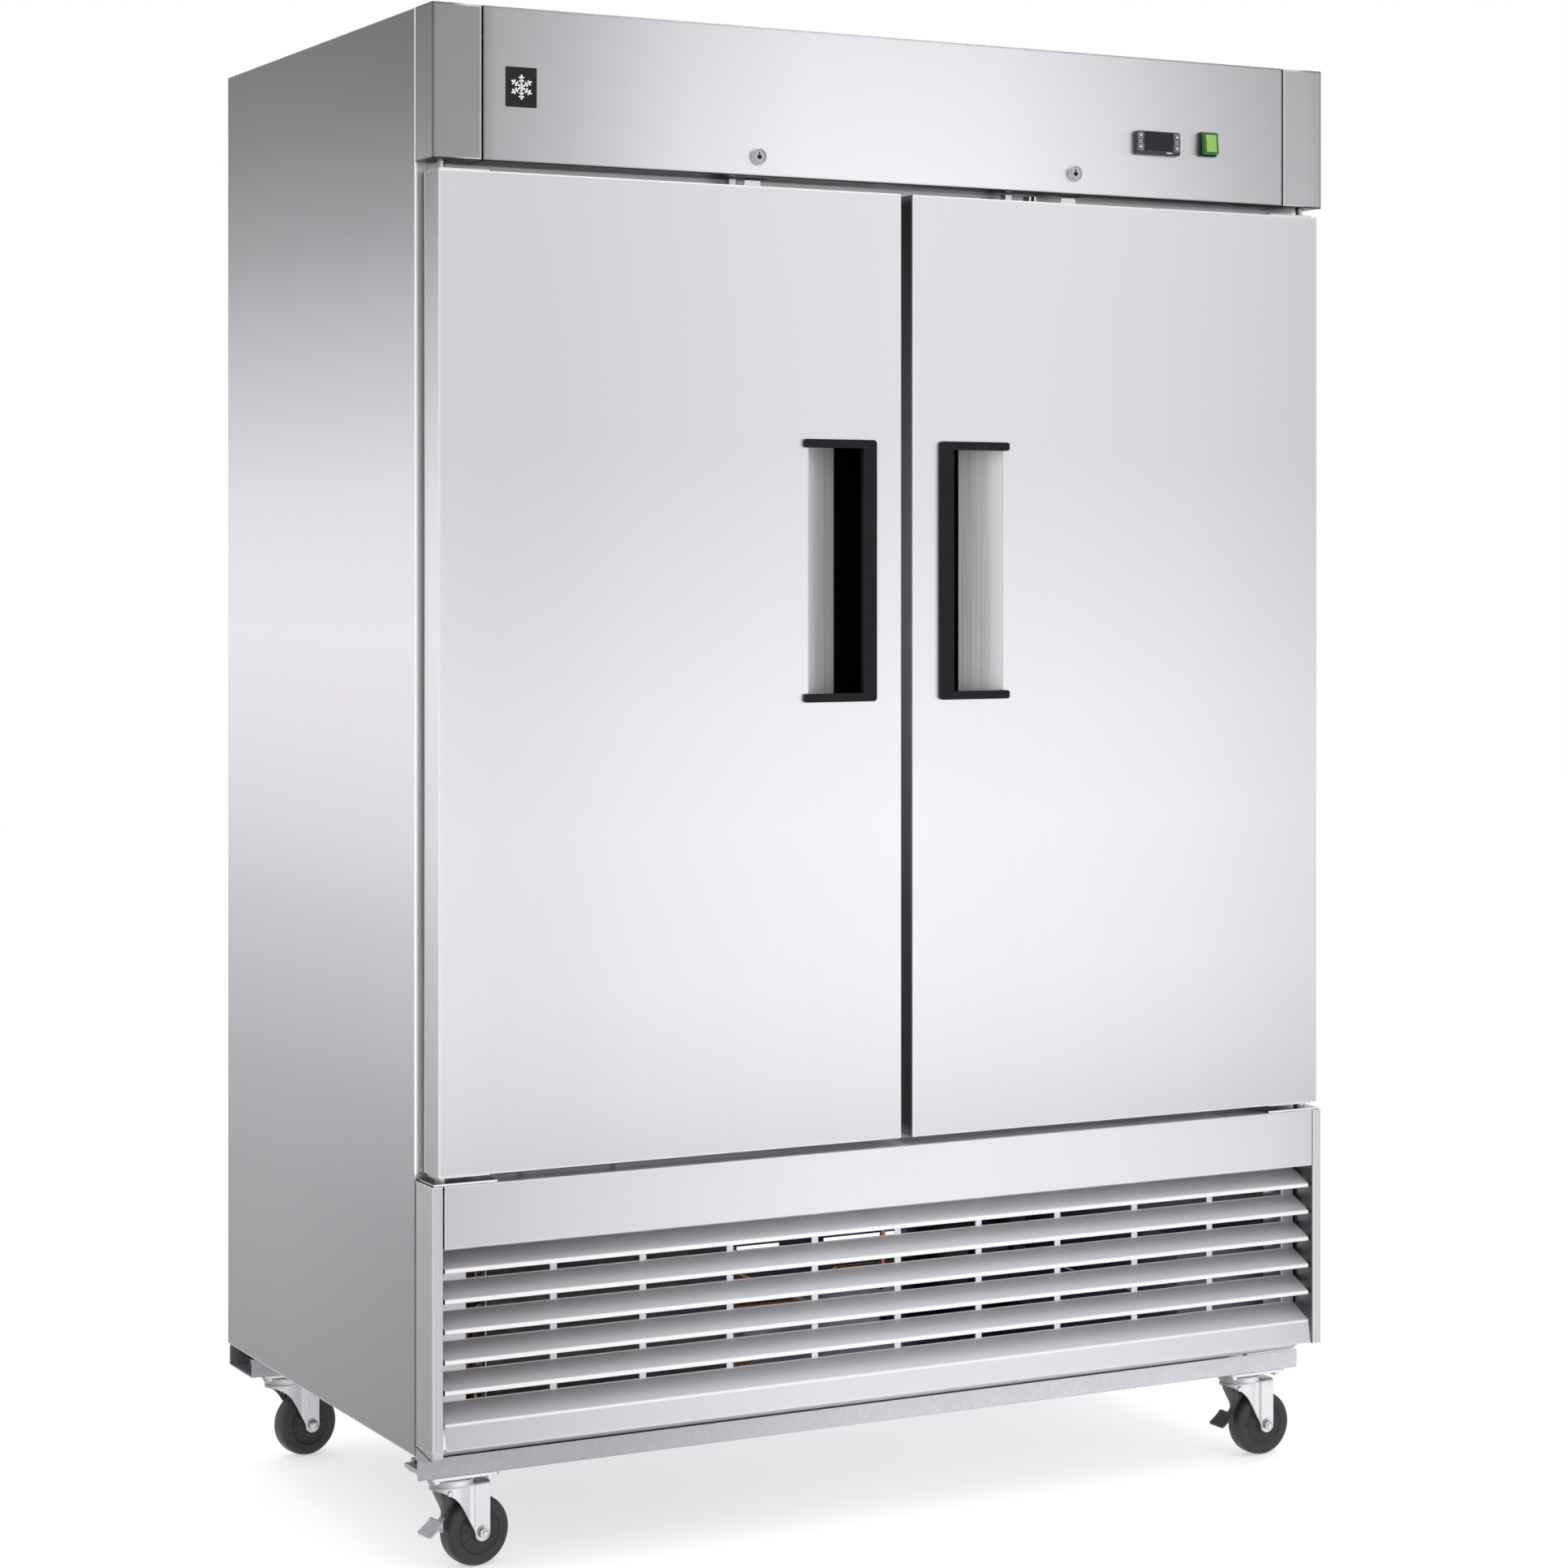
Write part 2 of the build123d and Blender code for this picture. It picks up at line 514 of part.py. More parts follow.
# ---------------------------------------------------------------- hinges
def hinge_brackets():
    """Fixed hinge plates on the cabinet, above and below each door."""
    bore = PIN_RADIUS + PIN_CLEARANCE
    reach_y = (-388.0, BODY_FRONT_Y)
    upper_z = HEADER_BOTTOM_Z + SKIN
    upper = block((640.0, 683.0), reach_y, (upper_z, upper_z + 4))
    upper += block((640.0, 683.0), (BODY_FRONT_Y - 3, BODY_FRONT_Y), (upper_z, upper_z + 34))
    upper += rod(9.0, (HINGE_X, HINGE_Y, upper_z + 2), (HINGE_X, HINGE_Y, upper_z + 15))
    upper -= rod(bore, (HINGE_X, HINGE_Y, upper_z - 1), (HINGE_X, HINGE_Y, upper_z + 16))
    lower = block((596.0, 683.0), reach_y, (GRILLE_TOP_Z, GRILLE_TOP_Z + 3))
    lower += block((596.0, 683.0), (BODY_FRONT_Y - 2.5, BODY_FRONT_Y), (GRILLE_TOP_Z, GRILLE_TOP_Z + 10))
    lower += rod(8.0, (HINGE_X, HINGE_Y, GRILLE_TOP_Z + 1),
                 (HINGE_X, HINGE_Y, DOOR_BOTTOM_Z - HINGE_PLATE - 0.2))
    lower -= rod(bore, (HINGE_X, HINGE_Y, GRILLE_TOP_Z - 1), (HINGE_X, HINGE_Y, DOOR_BOTTOM_Z))
    return group(upper, mirror(upper, Plane.YZ), lower, mirror(lower, Plane.YZ))


# ---------------------------------------------------------------- doors
# Each door is drawn at the right-hand side, and the left door is its mirror image.
def scoop_region(grow):
    """Cross-section of the pull's hollow in X and depth behind the door face, grown by a wall."""
    flat = SCOOP_FLAT_X
    depth = SCOOP_DEPTH + grow
    box_part = Pos((SCOOP_INNER_X - grow + flat) / 2, depth / 2) * Rectangle(flat - SCOOP_INNER_X + grow, depth)
    bowl = Pos(flat, SCOOP_DEPTH - SCOOP_RADIUS) * Circle(SCOOP_RADIUS + grow)
    window = Pos(flat + 60, depth / 2) * Rectangle(120, depth)
    return box_part + (bowl & window)


def scoop_solid(grow):
    """The hollow of the pull as a solid, with its depth measured from the back of the skin."""
    plane = Plane(origin=(0, DOOR_FRONT_Y, SCOOP_Z[0] - grow), x_dir=(1, 0, 0), z_dir=(0, 0, 1))
    return extrude(plane * scoop_region(grow), SCOOP_Z[1] - SCOOP_Z[0] + 2 * grow)


def door_skin():
    """Outer pan of the door: face and four folded edges, open at the back."""
    x = (DOOR_INNER_X, DOOR_OUTER_X)
    y = (DOOR_FRONT_Y, DOOR_BACK_Y - SKIN)
    z = (DOOR_BOTTOM_Z, DOOR_TOP_Z)
    pan = block(x, y, z)
    pan = fillet(pan.edges().filter_by(Axis.Z).group_by(Axis.Y)[0], 2.0)
    pan -= block((x[0] + SKIN, x[1] - SKIN), (y[0] + SKIN, y[1] + 1), (z[0] + SKIN, z[1] - SKIN))
    cutout = block((SCOOP_INNER_X, SCOOP_FLAT_X + 75.7), (y[0] - 1, y[0] + 3), SCOOP_Z)
    return pan - cutout


def door_foam():
    """Foam core in slabs round the pull's pocket, and one in the raised inner panel."""
    front = DOOR_FRONT_Y + SKIN
    back = DOOR_BACK_Y - SKIN
    inner = DOOR_INNER_X + SKIN + BOND
    outer = DOOR_OUTER_X - SKIN - BOND
    bottom = DOOR_BOTTOM_Z + SKIN
    top = DOOR_TOP_Z - SKIN
    hinge_side = block((POCKET_X[1], outer), (front + BOND, back), (bottom, top))
    gap_side = block((inner, POCKET_X[0]), (front + BOND, back), (bottom, top))
    above = block(POCKET_X, (front, back), (POCKET_Z[1], top))
    below = block(POCKET_X, (front, back), (bottom, POCKET_Z[0]))
    behind = block(POCKET_X, (POCKET_FLOOR_Y, back), POCKET_Z)
    raised_x, raised_z = raised_field()
    raised = block((raised_x[0] + SKIN, raised_x[1] - SKIN), (back, DOOR_BACK_Y + 8),
                   (raised_z[0] + SKIN, raised_z[1] - SKIN))
    return group(hinge_side, gap_side, above, below, behind, raised)


def raised_field():
    """X and Z limits of the raised middle of the inner panel, inside the gasket."""
    margin = GASKET_WIDTH + 8.0
    x = (GASKET_INNER_X + margin + 8.0, GASKET_OUTER_X - margin - 16.0)
    end = GASKET_END_INSET + margin + 4.0
    return x, (DOOR_BOTTOM_Z + end, DOOR_TOP_Z - end)


def door_inner_panel():
    """Inner sheet of the door with a shallow raised field."""
    sheet = block((DOOR_INNER_X, DOOR_OUTER_X), (DOOR_BACK_Y - SKIN, DOOR_BACK_Y),
                  (DOOR_BOTTOM_Z, DOOR_TOP_Z))
    x, z = raised_field()
    rise = DOOR_BACK_Y + 9.2
    raised = block(x, (DOOR_BACK_Y - SKIN, rise), z)
    raised = fillet(raised.edges().filter_by(Axis.Y), 12.0)
    hollow = block((x[0] + SKIN, x[1] - SKIN), (DOOR_BACK_Y - 2 * SKIN, rise - SKIN),
                   (z[0] + SKIN, z[1] - SKIN))
    return sheet + raised - hollow


def door_gasket():
    """Magnetic bellows gasket round the back of the door."""
    x = (GASKET_INNER_X, GASKET_OUTER_X)
    z = (DOOR_BOTTOM_Z + GASKET_END_INSET, DOOR_TOP_Z - GASKET_END_INSET)
    y = (DOOR_BACK_Y, BODY_FRONT_Y - GASKET_GAP)
    ring = block(x, y, z)
    ring = fillet(ring.edges().filter_by(Axis.Y), 4.0)
    width = GASKET_WIDTH
    ring -= block((x[0] + width, x[1] - width), (y[0] - 1, y[1] + 1), (z[0] + width, z[1] - width))
    waist_y = ((y[0] + y[1]) / 2 - 1.5, (y[0] + y[1]) / 2 + 1.5)
    pinch = 3.0
    groove = block((x[0] - 1, x[1] + 1), waist_y, (z[0] - 1, z[1] + 1))
    groove -= block((x[0] + pinch, x[1] - pinch), (waist_y[0] - 1, waist_y[1] + 1), (z[0] + pinch, z[1] - pinch))
    return ring - groove


def handle_frame():
    """Black moulded pull: a bar on the gap side with an arm at each end."""
    width = PULL_X[1] - PULL_X[0]
    height = PULL_Z[1] - PULL_Z[0]
    y = (DOOR_FRONT_Y - PULL_PROUD, DOOR_FRONT_Y)
    outer = block(PULL_X, y, PULL_Z)
    inside = block((PULL_X[0] + PULL_BAR, PULL_X[1] + 1), (y[0] - 1, y[1] + 1),
                   (PULL_Z[0] + PULL_ARM, PULL_Z[1] - PULL_ARM))
    frame = outer - inside
    upright = frame.edges().filter_by(Axis.Y)
    gap_side = upright.filter_by_position(Axis.X, PULL_X[0] - 1, PULL_X[0] + 1)
    frame = fillet(gap_side, 5.0)
    ends = frame.edges().filter_by(Axis.Y).filter_by_position(Axis.X, PULL_X[1] - 1, PULL_X[1] + 1)
    frame = fillet(ends, 3.5)
    frame = fillet(frame.faces().sort_by(Axis.Y)[0].edges(), 1.0)
    lip_z = (SCOOP_Z[0] + 0.5, SCOOP_Z[1] - 0.5)
    lip = block((SCOOP_INNER_X + 0.5, PULL_X[0] + PULL_BAR - 1.5), (y[1] - 1, y[1] + 5), lip_z)
    web = block((SCOOP_INNER_X, SCOOP_INNER_X + 2), (y[1] + 2 * SKIN + 0.2, y[1] + 5), lip_z)
    return frame + lip + web + well_liner()


def scoop_shell():
    """Wall of the whole hollow, from the back of the door skin inwards."""
    return scoop_solid(SCOOP_WALL) & block((0, 300), (DOOR_FRONT_Y + SKIN, 0), POCKET_Z)


def well_liner():
    """Wall of the deep finger well, moulded in one piece with the black pull."""
    deep = block((0, WELL_EDGE_X), (DOOR_FRONT_Y + 2 * SKIN, 0), POCKET_Z)
    return (scoop_shell() & deep) - scoop_solid(0)


def handle_recess():
    """Stainless scoop beside the pull: a curved slope from the door face to the edge of the well."""
    flange = block((POCKET_X[0] + 0.5, POCKET_X[1] - 0.5), (DOOR_FRONT_Y + SKIN, DOOR_FRONT_Y + 2 * SKIN),
                   (POCKET_Z[0] + 2, POCKET_Z[1] - 2))
    return flange + scoop_shell() - scoop_solid(0) - well_liner()


def door_hardware():
    """Hinge plates with their pins, at the top and the bottom of the door."""
    plate_x = (600.0, 677.0)
    plate_y = (-382.0, -346.5)
    upper = block(plate_x, plate_y, (DOOR_TOP_Z, DOOR_TOP_Z + HINGE_PLATE))
    upper = fillet(upper.edges().filter_by(Axis.Z), 6.0)
    upper += rod(PIN_RADIUS, (HINGE_X, HINGE_Y, DOOR_TOP_Z + 1), (HINGE_X, HINGE_Y, HEADER_BOTTOM_Z + 14))
    lower = block(plate_x, plate_y, (DOOR_BOTTOM_Z - HINGE_PLATE, DOOR_BOTTOM_Z))
    lower = fillet(lower.edges().filter_by(Axis.Z), 6.0)
    lower += rod(PIN_RADIUS, (HINGE_X, HINGE_Y, GRILLE_TOP_Z - 12), (HINGE_X, HINGE_Y, DOOR_BOTTOM_Z - 1))
    return [upper, lower]


def lock_catch(x):
    """Angle on the door's top that the lock's cam drops behind."""
    width = (x - 12, x + 12)
    depth = (-376.0, -362.0)
    sheet = 1.5
    angle = block(width, depth, (DOOR_TOP_Z, DOOR_TOP_Z + sheet))
    angle += block(width, (depth[0], depth[0] + sheet), (DOOR_TOP_Z, DOOR_TOP_Z + 9))
    return fillet(angle.edges().filter_by(Axis.Y).sort_by(Axis.Z)[-2:], 2.0)


def stop_block(x):
    stop = block((x - 6, x + 6), (-364.0, -350.0), (DOOR_TOP_Z, DOOR_TOP_Z + 11))
    return fillet(stop.edges().filter_by(Axis.Z), 1.5)


def closing_clevis():
    """Small fork on the right door's top, open upwards and along the depth."""
    x, top = CLEVIS_X, DOOR_TOP_Z
    clevis = block((x - 5.5, x + 5.5), (-374.0, -358.0), (top, top + 9))
    return clevis - block((x - 2.5, x + 2.5), (-375.0, -357.0), (top + 2, top + 10))


# ---------------------------------------------------------------- shelves
def shelf_supports():
    """Slotted uprights and the clips that hook into them under each shelf corner."""
    pieces = []
    post_back = BODY_FRONT_Y + MULLION_DEPTH
    half = STANDARD_WIDTH / 2
    for side in (-1, 1):
        wall = sorted((side * INSIDE_HALF, side * (INSIDE_HALF - STANDARD_DEPTH)))
        for y in (-225.0, 290.0):
            pieces.append(slotted_standard(wall, (y - half, y + half), "X"))
            for level in SHELF_LEVELS:
                tongue = sorted((side * (INSIDE_HALF - STANDARD_DEPTH), side * (SHELF_X[1] - 12)))
                pieces.append(shelf_clip(tongue, (y - half + 2, y + half - 2), level))
        centre = sorted((side * 15.0, side * (15.0 + STANDARD_WIDTH)))
        front_y = (post_back, post_back + STANDARD_DEPTH)
        rear_y = (INSIDE_BACK_Y - STANDARD_DEPTH, INSIDE_BACK_Y)
        tab_x = sorted((side * 17.0, side * 31.0))
        pieces.append(slotted_standard(centre, front_y, "Y"))
        pieces.append(slotted_standard(centre, rear_y, "Y"))
        for level in SHELF_LEVELS:
            pieces.append(shelf_clip(tab_x, (front_y[1], SHELF_Y[0] + 12), level))
            pieces.append(shelf_clip(tab_x, (SHELF_Y[1] - 12, rear_y[0]), level))
    return group(*pieces)


def slotted_standard(x, y, face):
    """Upright strip with a row of hook slots. face is the axis that the slots run through."""
    strip = block(x, y, STANDARD_Z)
    centre_x = (x[0] + x[1]) / 2
    centre_y = (y[0] + y[1]) / 2
    slots = []
    pitch = 50.0
    level = STANDARD_Z[0] + 20
    while level < STANDARD_Z[1] - 20:
        if face == "X":
            slots.append(block((x[0] - 1, x[1] + 1), (centre_y - 2, centre_y + 2), (level, level + 14)))
        else:
            slots.append(block((centre_x - 2, centre_x + 2), (y[0] - 1, y[1] + 1), (level, level + 14)))
        level += pitch
    return strip - slots


def shelf_clip(x, y, level):
    return block(x, y, (level - 8, level))


def wire_shelf():
    """One coated wire shelf on the right-hand side, its frame resting at height zero."""
    x, y = SHELF_X, SHELF_Y
    edge = SHELF_EDGE
    frame = block(x, y, (0, edge)) - block((x[0] + edge, x[1] - edge), (y[0] + edge, y[1] - edge),
                                           (-1, edge + 1))
    half = SHELF_WIRE / 2
    step = (x[1] - x[0] - edge) / (SHELF_WIRE_COUNT + 1)
    bars = []
    for count in range(SHELF_WIRE_COUNT):
        centre = x[0] + edge / 2 + (count + 1) * step
        bars.append(block((centre - half, centre + half), (y[0] + 1, y[1] - 1), (edge - half, edge + half)))
    for third in (1, 2):
        centre = y[0] + third * (y[1] - y[0]) / 3
        bars.append(block((x[0] + 1, x[1] - 1), (centre - half, centre + half), (1, edge - half)))
    return frame.fuse(*bars)


def wire_shelves():
    shelf = wire_shelf()
    pieces = []
    for level in SHELF_LEVELS:
        pieces.append(Pos(0, 0, level) * shelf)
        pieces.append(Pos(0, 0, level) * mirror(shelf, Plane.YZ))
    return group(*pieces)


# ---------------------------------------------------------------- cooling
def evaporator_cover():
    """Ceiling housing of the evaporator: an open-topped tray with a guarded air inlet at its front."""
    wall = 1.5
    x = EVAPORATOR_X
    outer = block((-x, x), EVAPORATOR_Y, (EVAPORATOR_BOTTOM_Z, INSIDE_CEILING_Z))
    inner = block((wall - x, x - wall), (EVAPORATOR_Y[0] + wall, EVAPORATOR_Y[1] + 1),
                  (EVAPORATOR_BOTTOM_Z + wall, INSIDE_CEILING_Z + 1))
    cover = outer - inner
    front = EVAPORATOR_Y[0]
    hole = EVAPORATOR_FAN_RADIUS + 6
    cover -= rod(hole, (0, front - 1, EVAPORATOR_FAN_Z), (0, front + 5, EVAPORATOR_FAN_Z))
    guard_depth = (front - 2.5, front)
    reach = hole + 5
    pitch = 16.0
    guard = []
    for count in range(-3, 4):
        centre = EVAPORATOR_FAN_Z + count * pitch
        guard.append(block((-reach, reach), guard_depth, (centre - 1, centre + 1)))
    for end in (-reach, reach):
        guard.append(block((end - 2, end + 2), guard_depth,
                           (EVAPORATOR_FAN_Z - 3 * pitch - 1, EVAPORATOR_FAN_Z + 3 * pitch + 1)))
    return cover.fuse(*guard)


def finned_coil(x, y, z):
    """Heat exchanger: a fin block between two taller end plates."""
    fins = block(x, y, z)
    end_plate = 2.0
    margin = 4.0
    for low in (x[0] - end_plate, x[1]):
        fins += block((low, low + end_plate), (y[0] - margin, y[1] + margin), (z[0] - margin, z[1] + margin))
    return fins


def evaporator_coil():
    return finned_coil((-250.0, 250.0), (60.0, 180.0), (1815.0, 1925.0))


def condenser_coil():
    """Condenser with the sheet shroud that holds its fan."""
    coil = finned_coil(COIL_X, COIL_Y, COIL_Z)
    y = (COIL_Y[1] + 4.5, COIL_Y[1] + 44.5)
    wall = 1.5
    shroud = block(COIL_X, y, COIL_Z)
    shroud -= block((COIL_X[0] + wall, COIL_X[1] - wall), (y[0] - 1, y[1] - wall),
                    (COIL_Z[0] + wall, COIL_Z[1] - wall))
    shroud -= rod(FAN_RADIUS + 5, (FAN_X, y[1] - 5, FAN_Z), (FAN_X, y[1] + 5, FAN_Z))
    return group(coil, shroud)


def fan_blades(radius, hub_radius, count, chord, axis_x, axis_z, y, bore):
    """Axial fan rotor: a hub and pitched blades, turning about an axis along Y."""
    hub = rod(hub_radius, (axis_x, y - 9, axis_z), (axis_x, y + 9, axis_z))
    blade = Pos(0, 0, (radius + hub_radius) / 2 - 1) * Rot(0, 0, 28) * Box(chord, 1.6, radius - hub_radius + 2)
    tip = rod(radius, (0, -30, 0), (0, 30, 0))
    blade = blade & tip
    pieces = []
    for count_index in range(count):
        turned = Rot(0, 360.0 / count * count_index, 0) * blade
        pieces.append(Pos(axis_x, y, axis_z) * turned)
    rotor = hub.fuse(*pieces)
    return rotor - rod(bore, (axis_x, y - 10, axis_z), (axis_x, y + 10, axis_z))


SHAFT_RADIUS = 4.0
CONDENSER_FAN_Y = COIL_Y[1] + 30.0
EVAPORATOR_FAN_Y = EVAPORATOR_Y[0] + 26.0


def condenser_fan():
    return fan_blades(FAN_RADIUS, 26.0, 5, 62.0, FAN_X, FAN_Z, CONDENSER_FAN_Y, SHAFT_RADIUS + PIN_CLEARANCE)


def evaporator_fan():
    return fan_blades(EVAPORATOR_FAN_RADIUS, 16.0, 5, 36.0, 0.0, EVAPORATOR_FAN_Z, EVAPORATOR_FAN_Y,
                      SHAFT_RADIUS + PIN_CLEARANCE)


def fan_motor(x, y, z, floor_z, ceiling_z):
    """Small shaded-pole motor with its shaft towards -Y and a bracket to one surface."""
    body_start = y + 16.0
    motor = rod(26.0, (x, body_start, z), (x, body_start + 44, z))
    motor = fillet(motor.edges().sort_by(Axis.Y)[-1], 4.0)
    motor += rod(SHAFT_RADIUS, (x, y - 12, z), (x, body_start + 1, z))
    foot_y = (body_start + 14, body_start + 30)
    if floor_z is not None:
        motor += block((x - 14, x + 14), foot_y, (floor_z + 3, z))
        motor += block((x - 30, x + 30), foot_y, (floor_z, floor_z + 3))
    else:
        motor += block((x - 14, x + 14), foot_y, (z, ceiling_z - 3))
        motor += block((x - 30, x + 30), foot_y, (ceiling_z - 3, ceiling_z))
    return motor


def fan_motors():
    condenser = fan_motor(FAN_X, CONDENSER_FAN_Y, FAN_Z, PAN_TOP_Z, None)
    evaporator = fan_motor(0.0, EVAPORATOR_FAN_Y, EVAPORATOR_FAN_Z, None, INSIDE_CEILING_Z)
    return group(condenser, evaporator)


def compressor():
    """Hermetic shell on a base plate with four rubber feet."""
    centre = (COMPRESSOR_X, COMPRESSOR_Y)
    low = PAN_TOP_Z + 14
    shell = Pos(*centre, low + 4) * Cylinder(84, 176, align=(Align.CENTER, Align.CENTER, Align.MIN))
    shell = fillet(shell.edges().sort_by(Axis.Z)[-1], 48.0)
    shell = fillet(shell.edges().sort_by(Axis.Z)[0], 20.0)
    seam = Pos(*centre, low + 92) * Cylinder(88, 7)
    foot = block((centre[0] - 110, centre[0] + 110), (centre[1] - 62, centre[1] + 62), (low, low + 4))
    foot = fillet(foot.edges().filter_by(Axis.Z), 14.0)
    terminal = block((centre[0] - 26, centre[0] + 26), (centre[1] - 108, centre[1] - 70), (low + 60, low + 120))
    pieces = [shell + seam + foot + terminal]
    for dx in (-92, 92):
        for dy in (-44, 44):
            spot = (centre[0] + dx, centre[1] + dy)
            pieces.append(rod(13, (*spot, PAN_TOP_Z), (*spot, low)))
    return group(*pieces)


def copper_line(points, radius, bend):
    """Copper tube along straight runs joined by tangent bends."""
    path = FilletPolyline(*points, radius=bend)
    direction = Vector(*points[1]) - Vector(*points[0])
    return sweep(Plane(origin=points[0], z_dir=direction) * Circle(radius), path=path)


def refrigerant_lines():
    """Copper pipework, the filter drier and the lines that rise to the evaporator."""
    deck = DECK_Z - LINING
    side = COMPRESSOR_X - 84
    discharge = copper_line([(side, COMPRESSOR_Y, 260), (120, COMPRESSOR_Y, 260), (120, -110, 260),
                             (120, -110, 470), (-170, -110, 470), (-170, -232, 470),
                             (-170, -232, 430), (COIL_X[1] + 2, -232, 430)], 4.0, 9.0)
    liquid = copper_line([(COIL_X[1] + 2, -232, 210), (-150, -232, 210), (-150, 60, 210), (-60, 60, 210)], 3.2, 10.0)
    drier = rod(13.0, (-60, 60, 210), (60, 60, 210))
    riser = copper_line([(60, 60, 210), (90, 60, 210), (90, 300, 210), (90, 300, deck)], 3.2, 14.0)
    suction = copper_line([(COMPRESSOR_X, COMPRESSOR_Y + 84, 300), (COMPRESSOR_X, 250, 300),
                           (COMPRESSOR_X, 250, deck)], 6.4, 22.0)
    return group(discharge, liquid, drier, riser, suction)


def drain_pan():
    """Shallow tray that boils off the drained water."""
    x = (-330.0, 20.0)
    y = (120.0, 360.0)
    z = (PAN_TOP_Z, PAN_TOP_Z + 42)
    tray = block(x, y, z)
    tray = fillet(tray.edges().filter_by(Axis.Z), 14.0)
    wall = 1.5
    hollow = block((x[0] + wall, x[1] - wall), (y[0] + wall, y[1] - wall), (z[0] + wall, z[1] + 1))
    return tray - fillet(hollow.edges().filter_by(Axis.Z), 12.5)


def electrical_box():
    """Junction box beside the condenser, with a lid and a cord inlet at the rear."""
    x = (500.0, 650.0)
    y = (-300.0, -210.0)
    z = (PAN_TOP_Z, 330.0)
    body = block(x, y, z)
    body = fillet(body.edges().filter_by(Axis.Z), 4.0)
    lid = block((x[0] - 2, x[1] + 2), (y[0] - 2, y[1] + 2), (z[1], z[1] + 3))
    inlet = rod(14.0, (x[0] + 40, y[1], 240), (x[0] + 40, y[1] + 14, 240))
    inlet -= rod(7.0, (x[0] + 40, y[1] + 2, 240), (x[0] + 40, y[1] + 15, 240))
    return body + lid + inlet


# ---------------------------------------------------------------- casters
def place_caster(name, piece):
    """Put a piece drawn with its swivel axis on Z and its wheel trailing along +X."""
    x, y, heading = CASTERS[name]
    return Pos(x, y, 0) * Rot(0, 0, heading) * piece


def caster_plates():
    """Top plates with the pressed upper race of the swivel."""
    low = RAIL_Z[0] - CASTER_PLATE_THICK
    half = CASTER_PLATE / 2
    plates = []
    for x, y, _ in CASTERS.values():
        plate = block((x - half, x + half), (y - half, y + half), (low, RAIL_Z[0]))
        plate = fillet(plate.edges().filter_by(Axis.Z), 6.0)
        race = Pos(x, y, low - 5.5) * Cone(27, 33, 11)
        plate += race
        plate -= caster_bolt_holes(x, y, low - 1, RAIL_Z[0] + 1)
        plate -= rod(KINGPIN_RADIUS + PIN_CLEARANCE, (x, y, low - 12), (x, y, RAIL_Z[0] + 1))
        plates.append(plate)
    return group(*plates)


def caster_fork():
    """Stamped fork: a round crown, a top plate and two legs, with its kingpin and axle bolt."""
    crown_top = RAIL_Z[0] - CASTER_PLATE_THICK - 11.2
    outer = FORK_INSIDE + FORK_SHEET
    leg_end = 11.0
    axle = (CASTER_TRAIL, WHEEL_RADIUS)
    crown_low = FORK_TOP_Z - 3
    crown = Pos(0, 0, (crown_low + crown_top) / 2) * Cylinder(31, crown_top - crown_low)
    top = block((-18, 45.5), (-outer, outer), (crown_low, FORK_TOP_Z))
    outline = Polyline((-30, FORK_TOP_Z), (-30, FORK_TOP_Z - 6), (-12, FORK_TOP_Z - 14),
                       (axle[0] - leg_end, axle[1] + 10), (axle[0] - leg_end, axle[1]),
                       (axle[0] + leg_end, axle[1]), (45.5, FORK_TOP_Z), close=True)
    leg_face = Plane(origin=(0, -outer, 0), x_dir=(1, 0, 0), z_dir=(0, -1, 0))
    profile = make_face(outline) + Pos(*axle) * Circle(leg_end)
    leg = extrude(leg_face * profile, -FORK_SHEET)
    fork = crown + top + leg + mirror(leg, Plane.XZ)
    fork += rod(KINGPIN_RADIUS, (0, 0, crown_top - 1), (0, 0, RAIL_Z[0] - 0.5))
    fork -= rod(AXLE_RADIUS, (axle[0], -outer - 1, axle[1]), (axle[0], outer + 1, axle[1]))
    pivot_x, pivot_z = PEDAL_PIVOT
    fork += rod(3.0, (pivot_x, -outer, pivot_z), (pivot_x, outer, pivot_z))

    bolt = rod(AXLE_RADIUS, (axle[0], -outer - 3, axle[1]), (axle[0], outer + 3, axle[1]))
    for side in (-1, 1):
        hexagon = Plane(origin=(axle[0], side * outer, axle[1]), z_dir=(0, side, 0)) * RegularPolygon(9.0, 6)
        bolt += extrude(hexagon, 5.5)
    return group(fork, bolt)


def caster_wheel():
    """Solid wheel with rounded shoulders, a raised rim, a web and a hub."""
    half = WHEEL_WIDTH / 2
    radius = WHEEL_RADIUS
    bore = AXLE_RADIUS + PIN_CLEARANCE
    hub_half = half + 2.5
    outline = Polyline((bore, -hub_half), (13, -hub_half), (15, -half + 3), (28, -half + 3), (31, -half),
                       (radius - 5, -half), (radius - 1.2, -half + 3.5), (radius, 0),
                       (radius - 1.2, half - 3.5), (radius - 5, half), (31, half), (28, half - 3),
                       (15, half - 3), (13, hub_half), (bore, hub_half), close=True)
    wheel = revolve(make_face(outline), Axis.Y)
    return Pos(CASTER_TRAIL, 0, WHEEL_RADIUS) * wheel


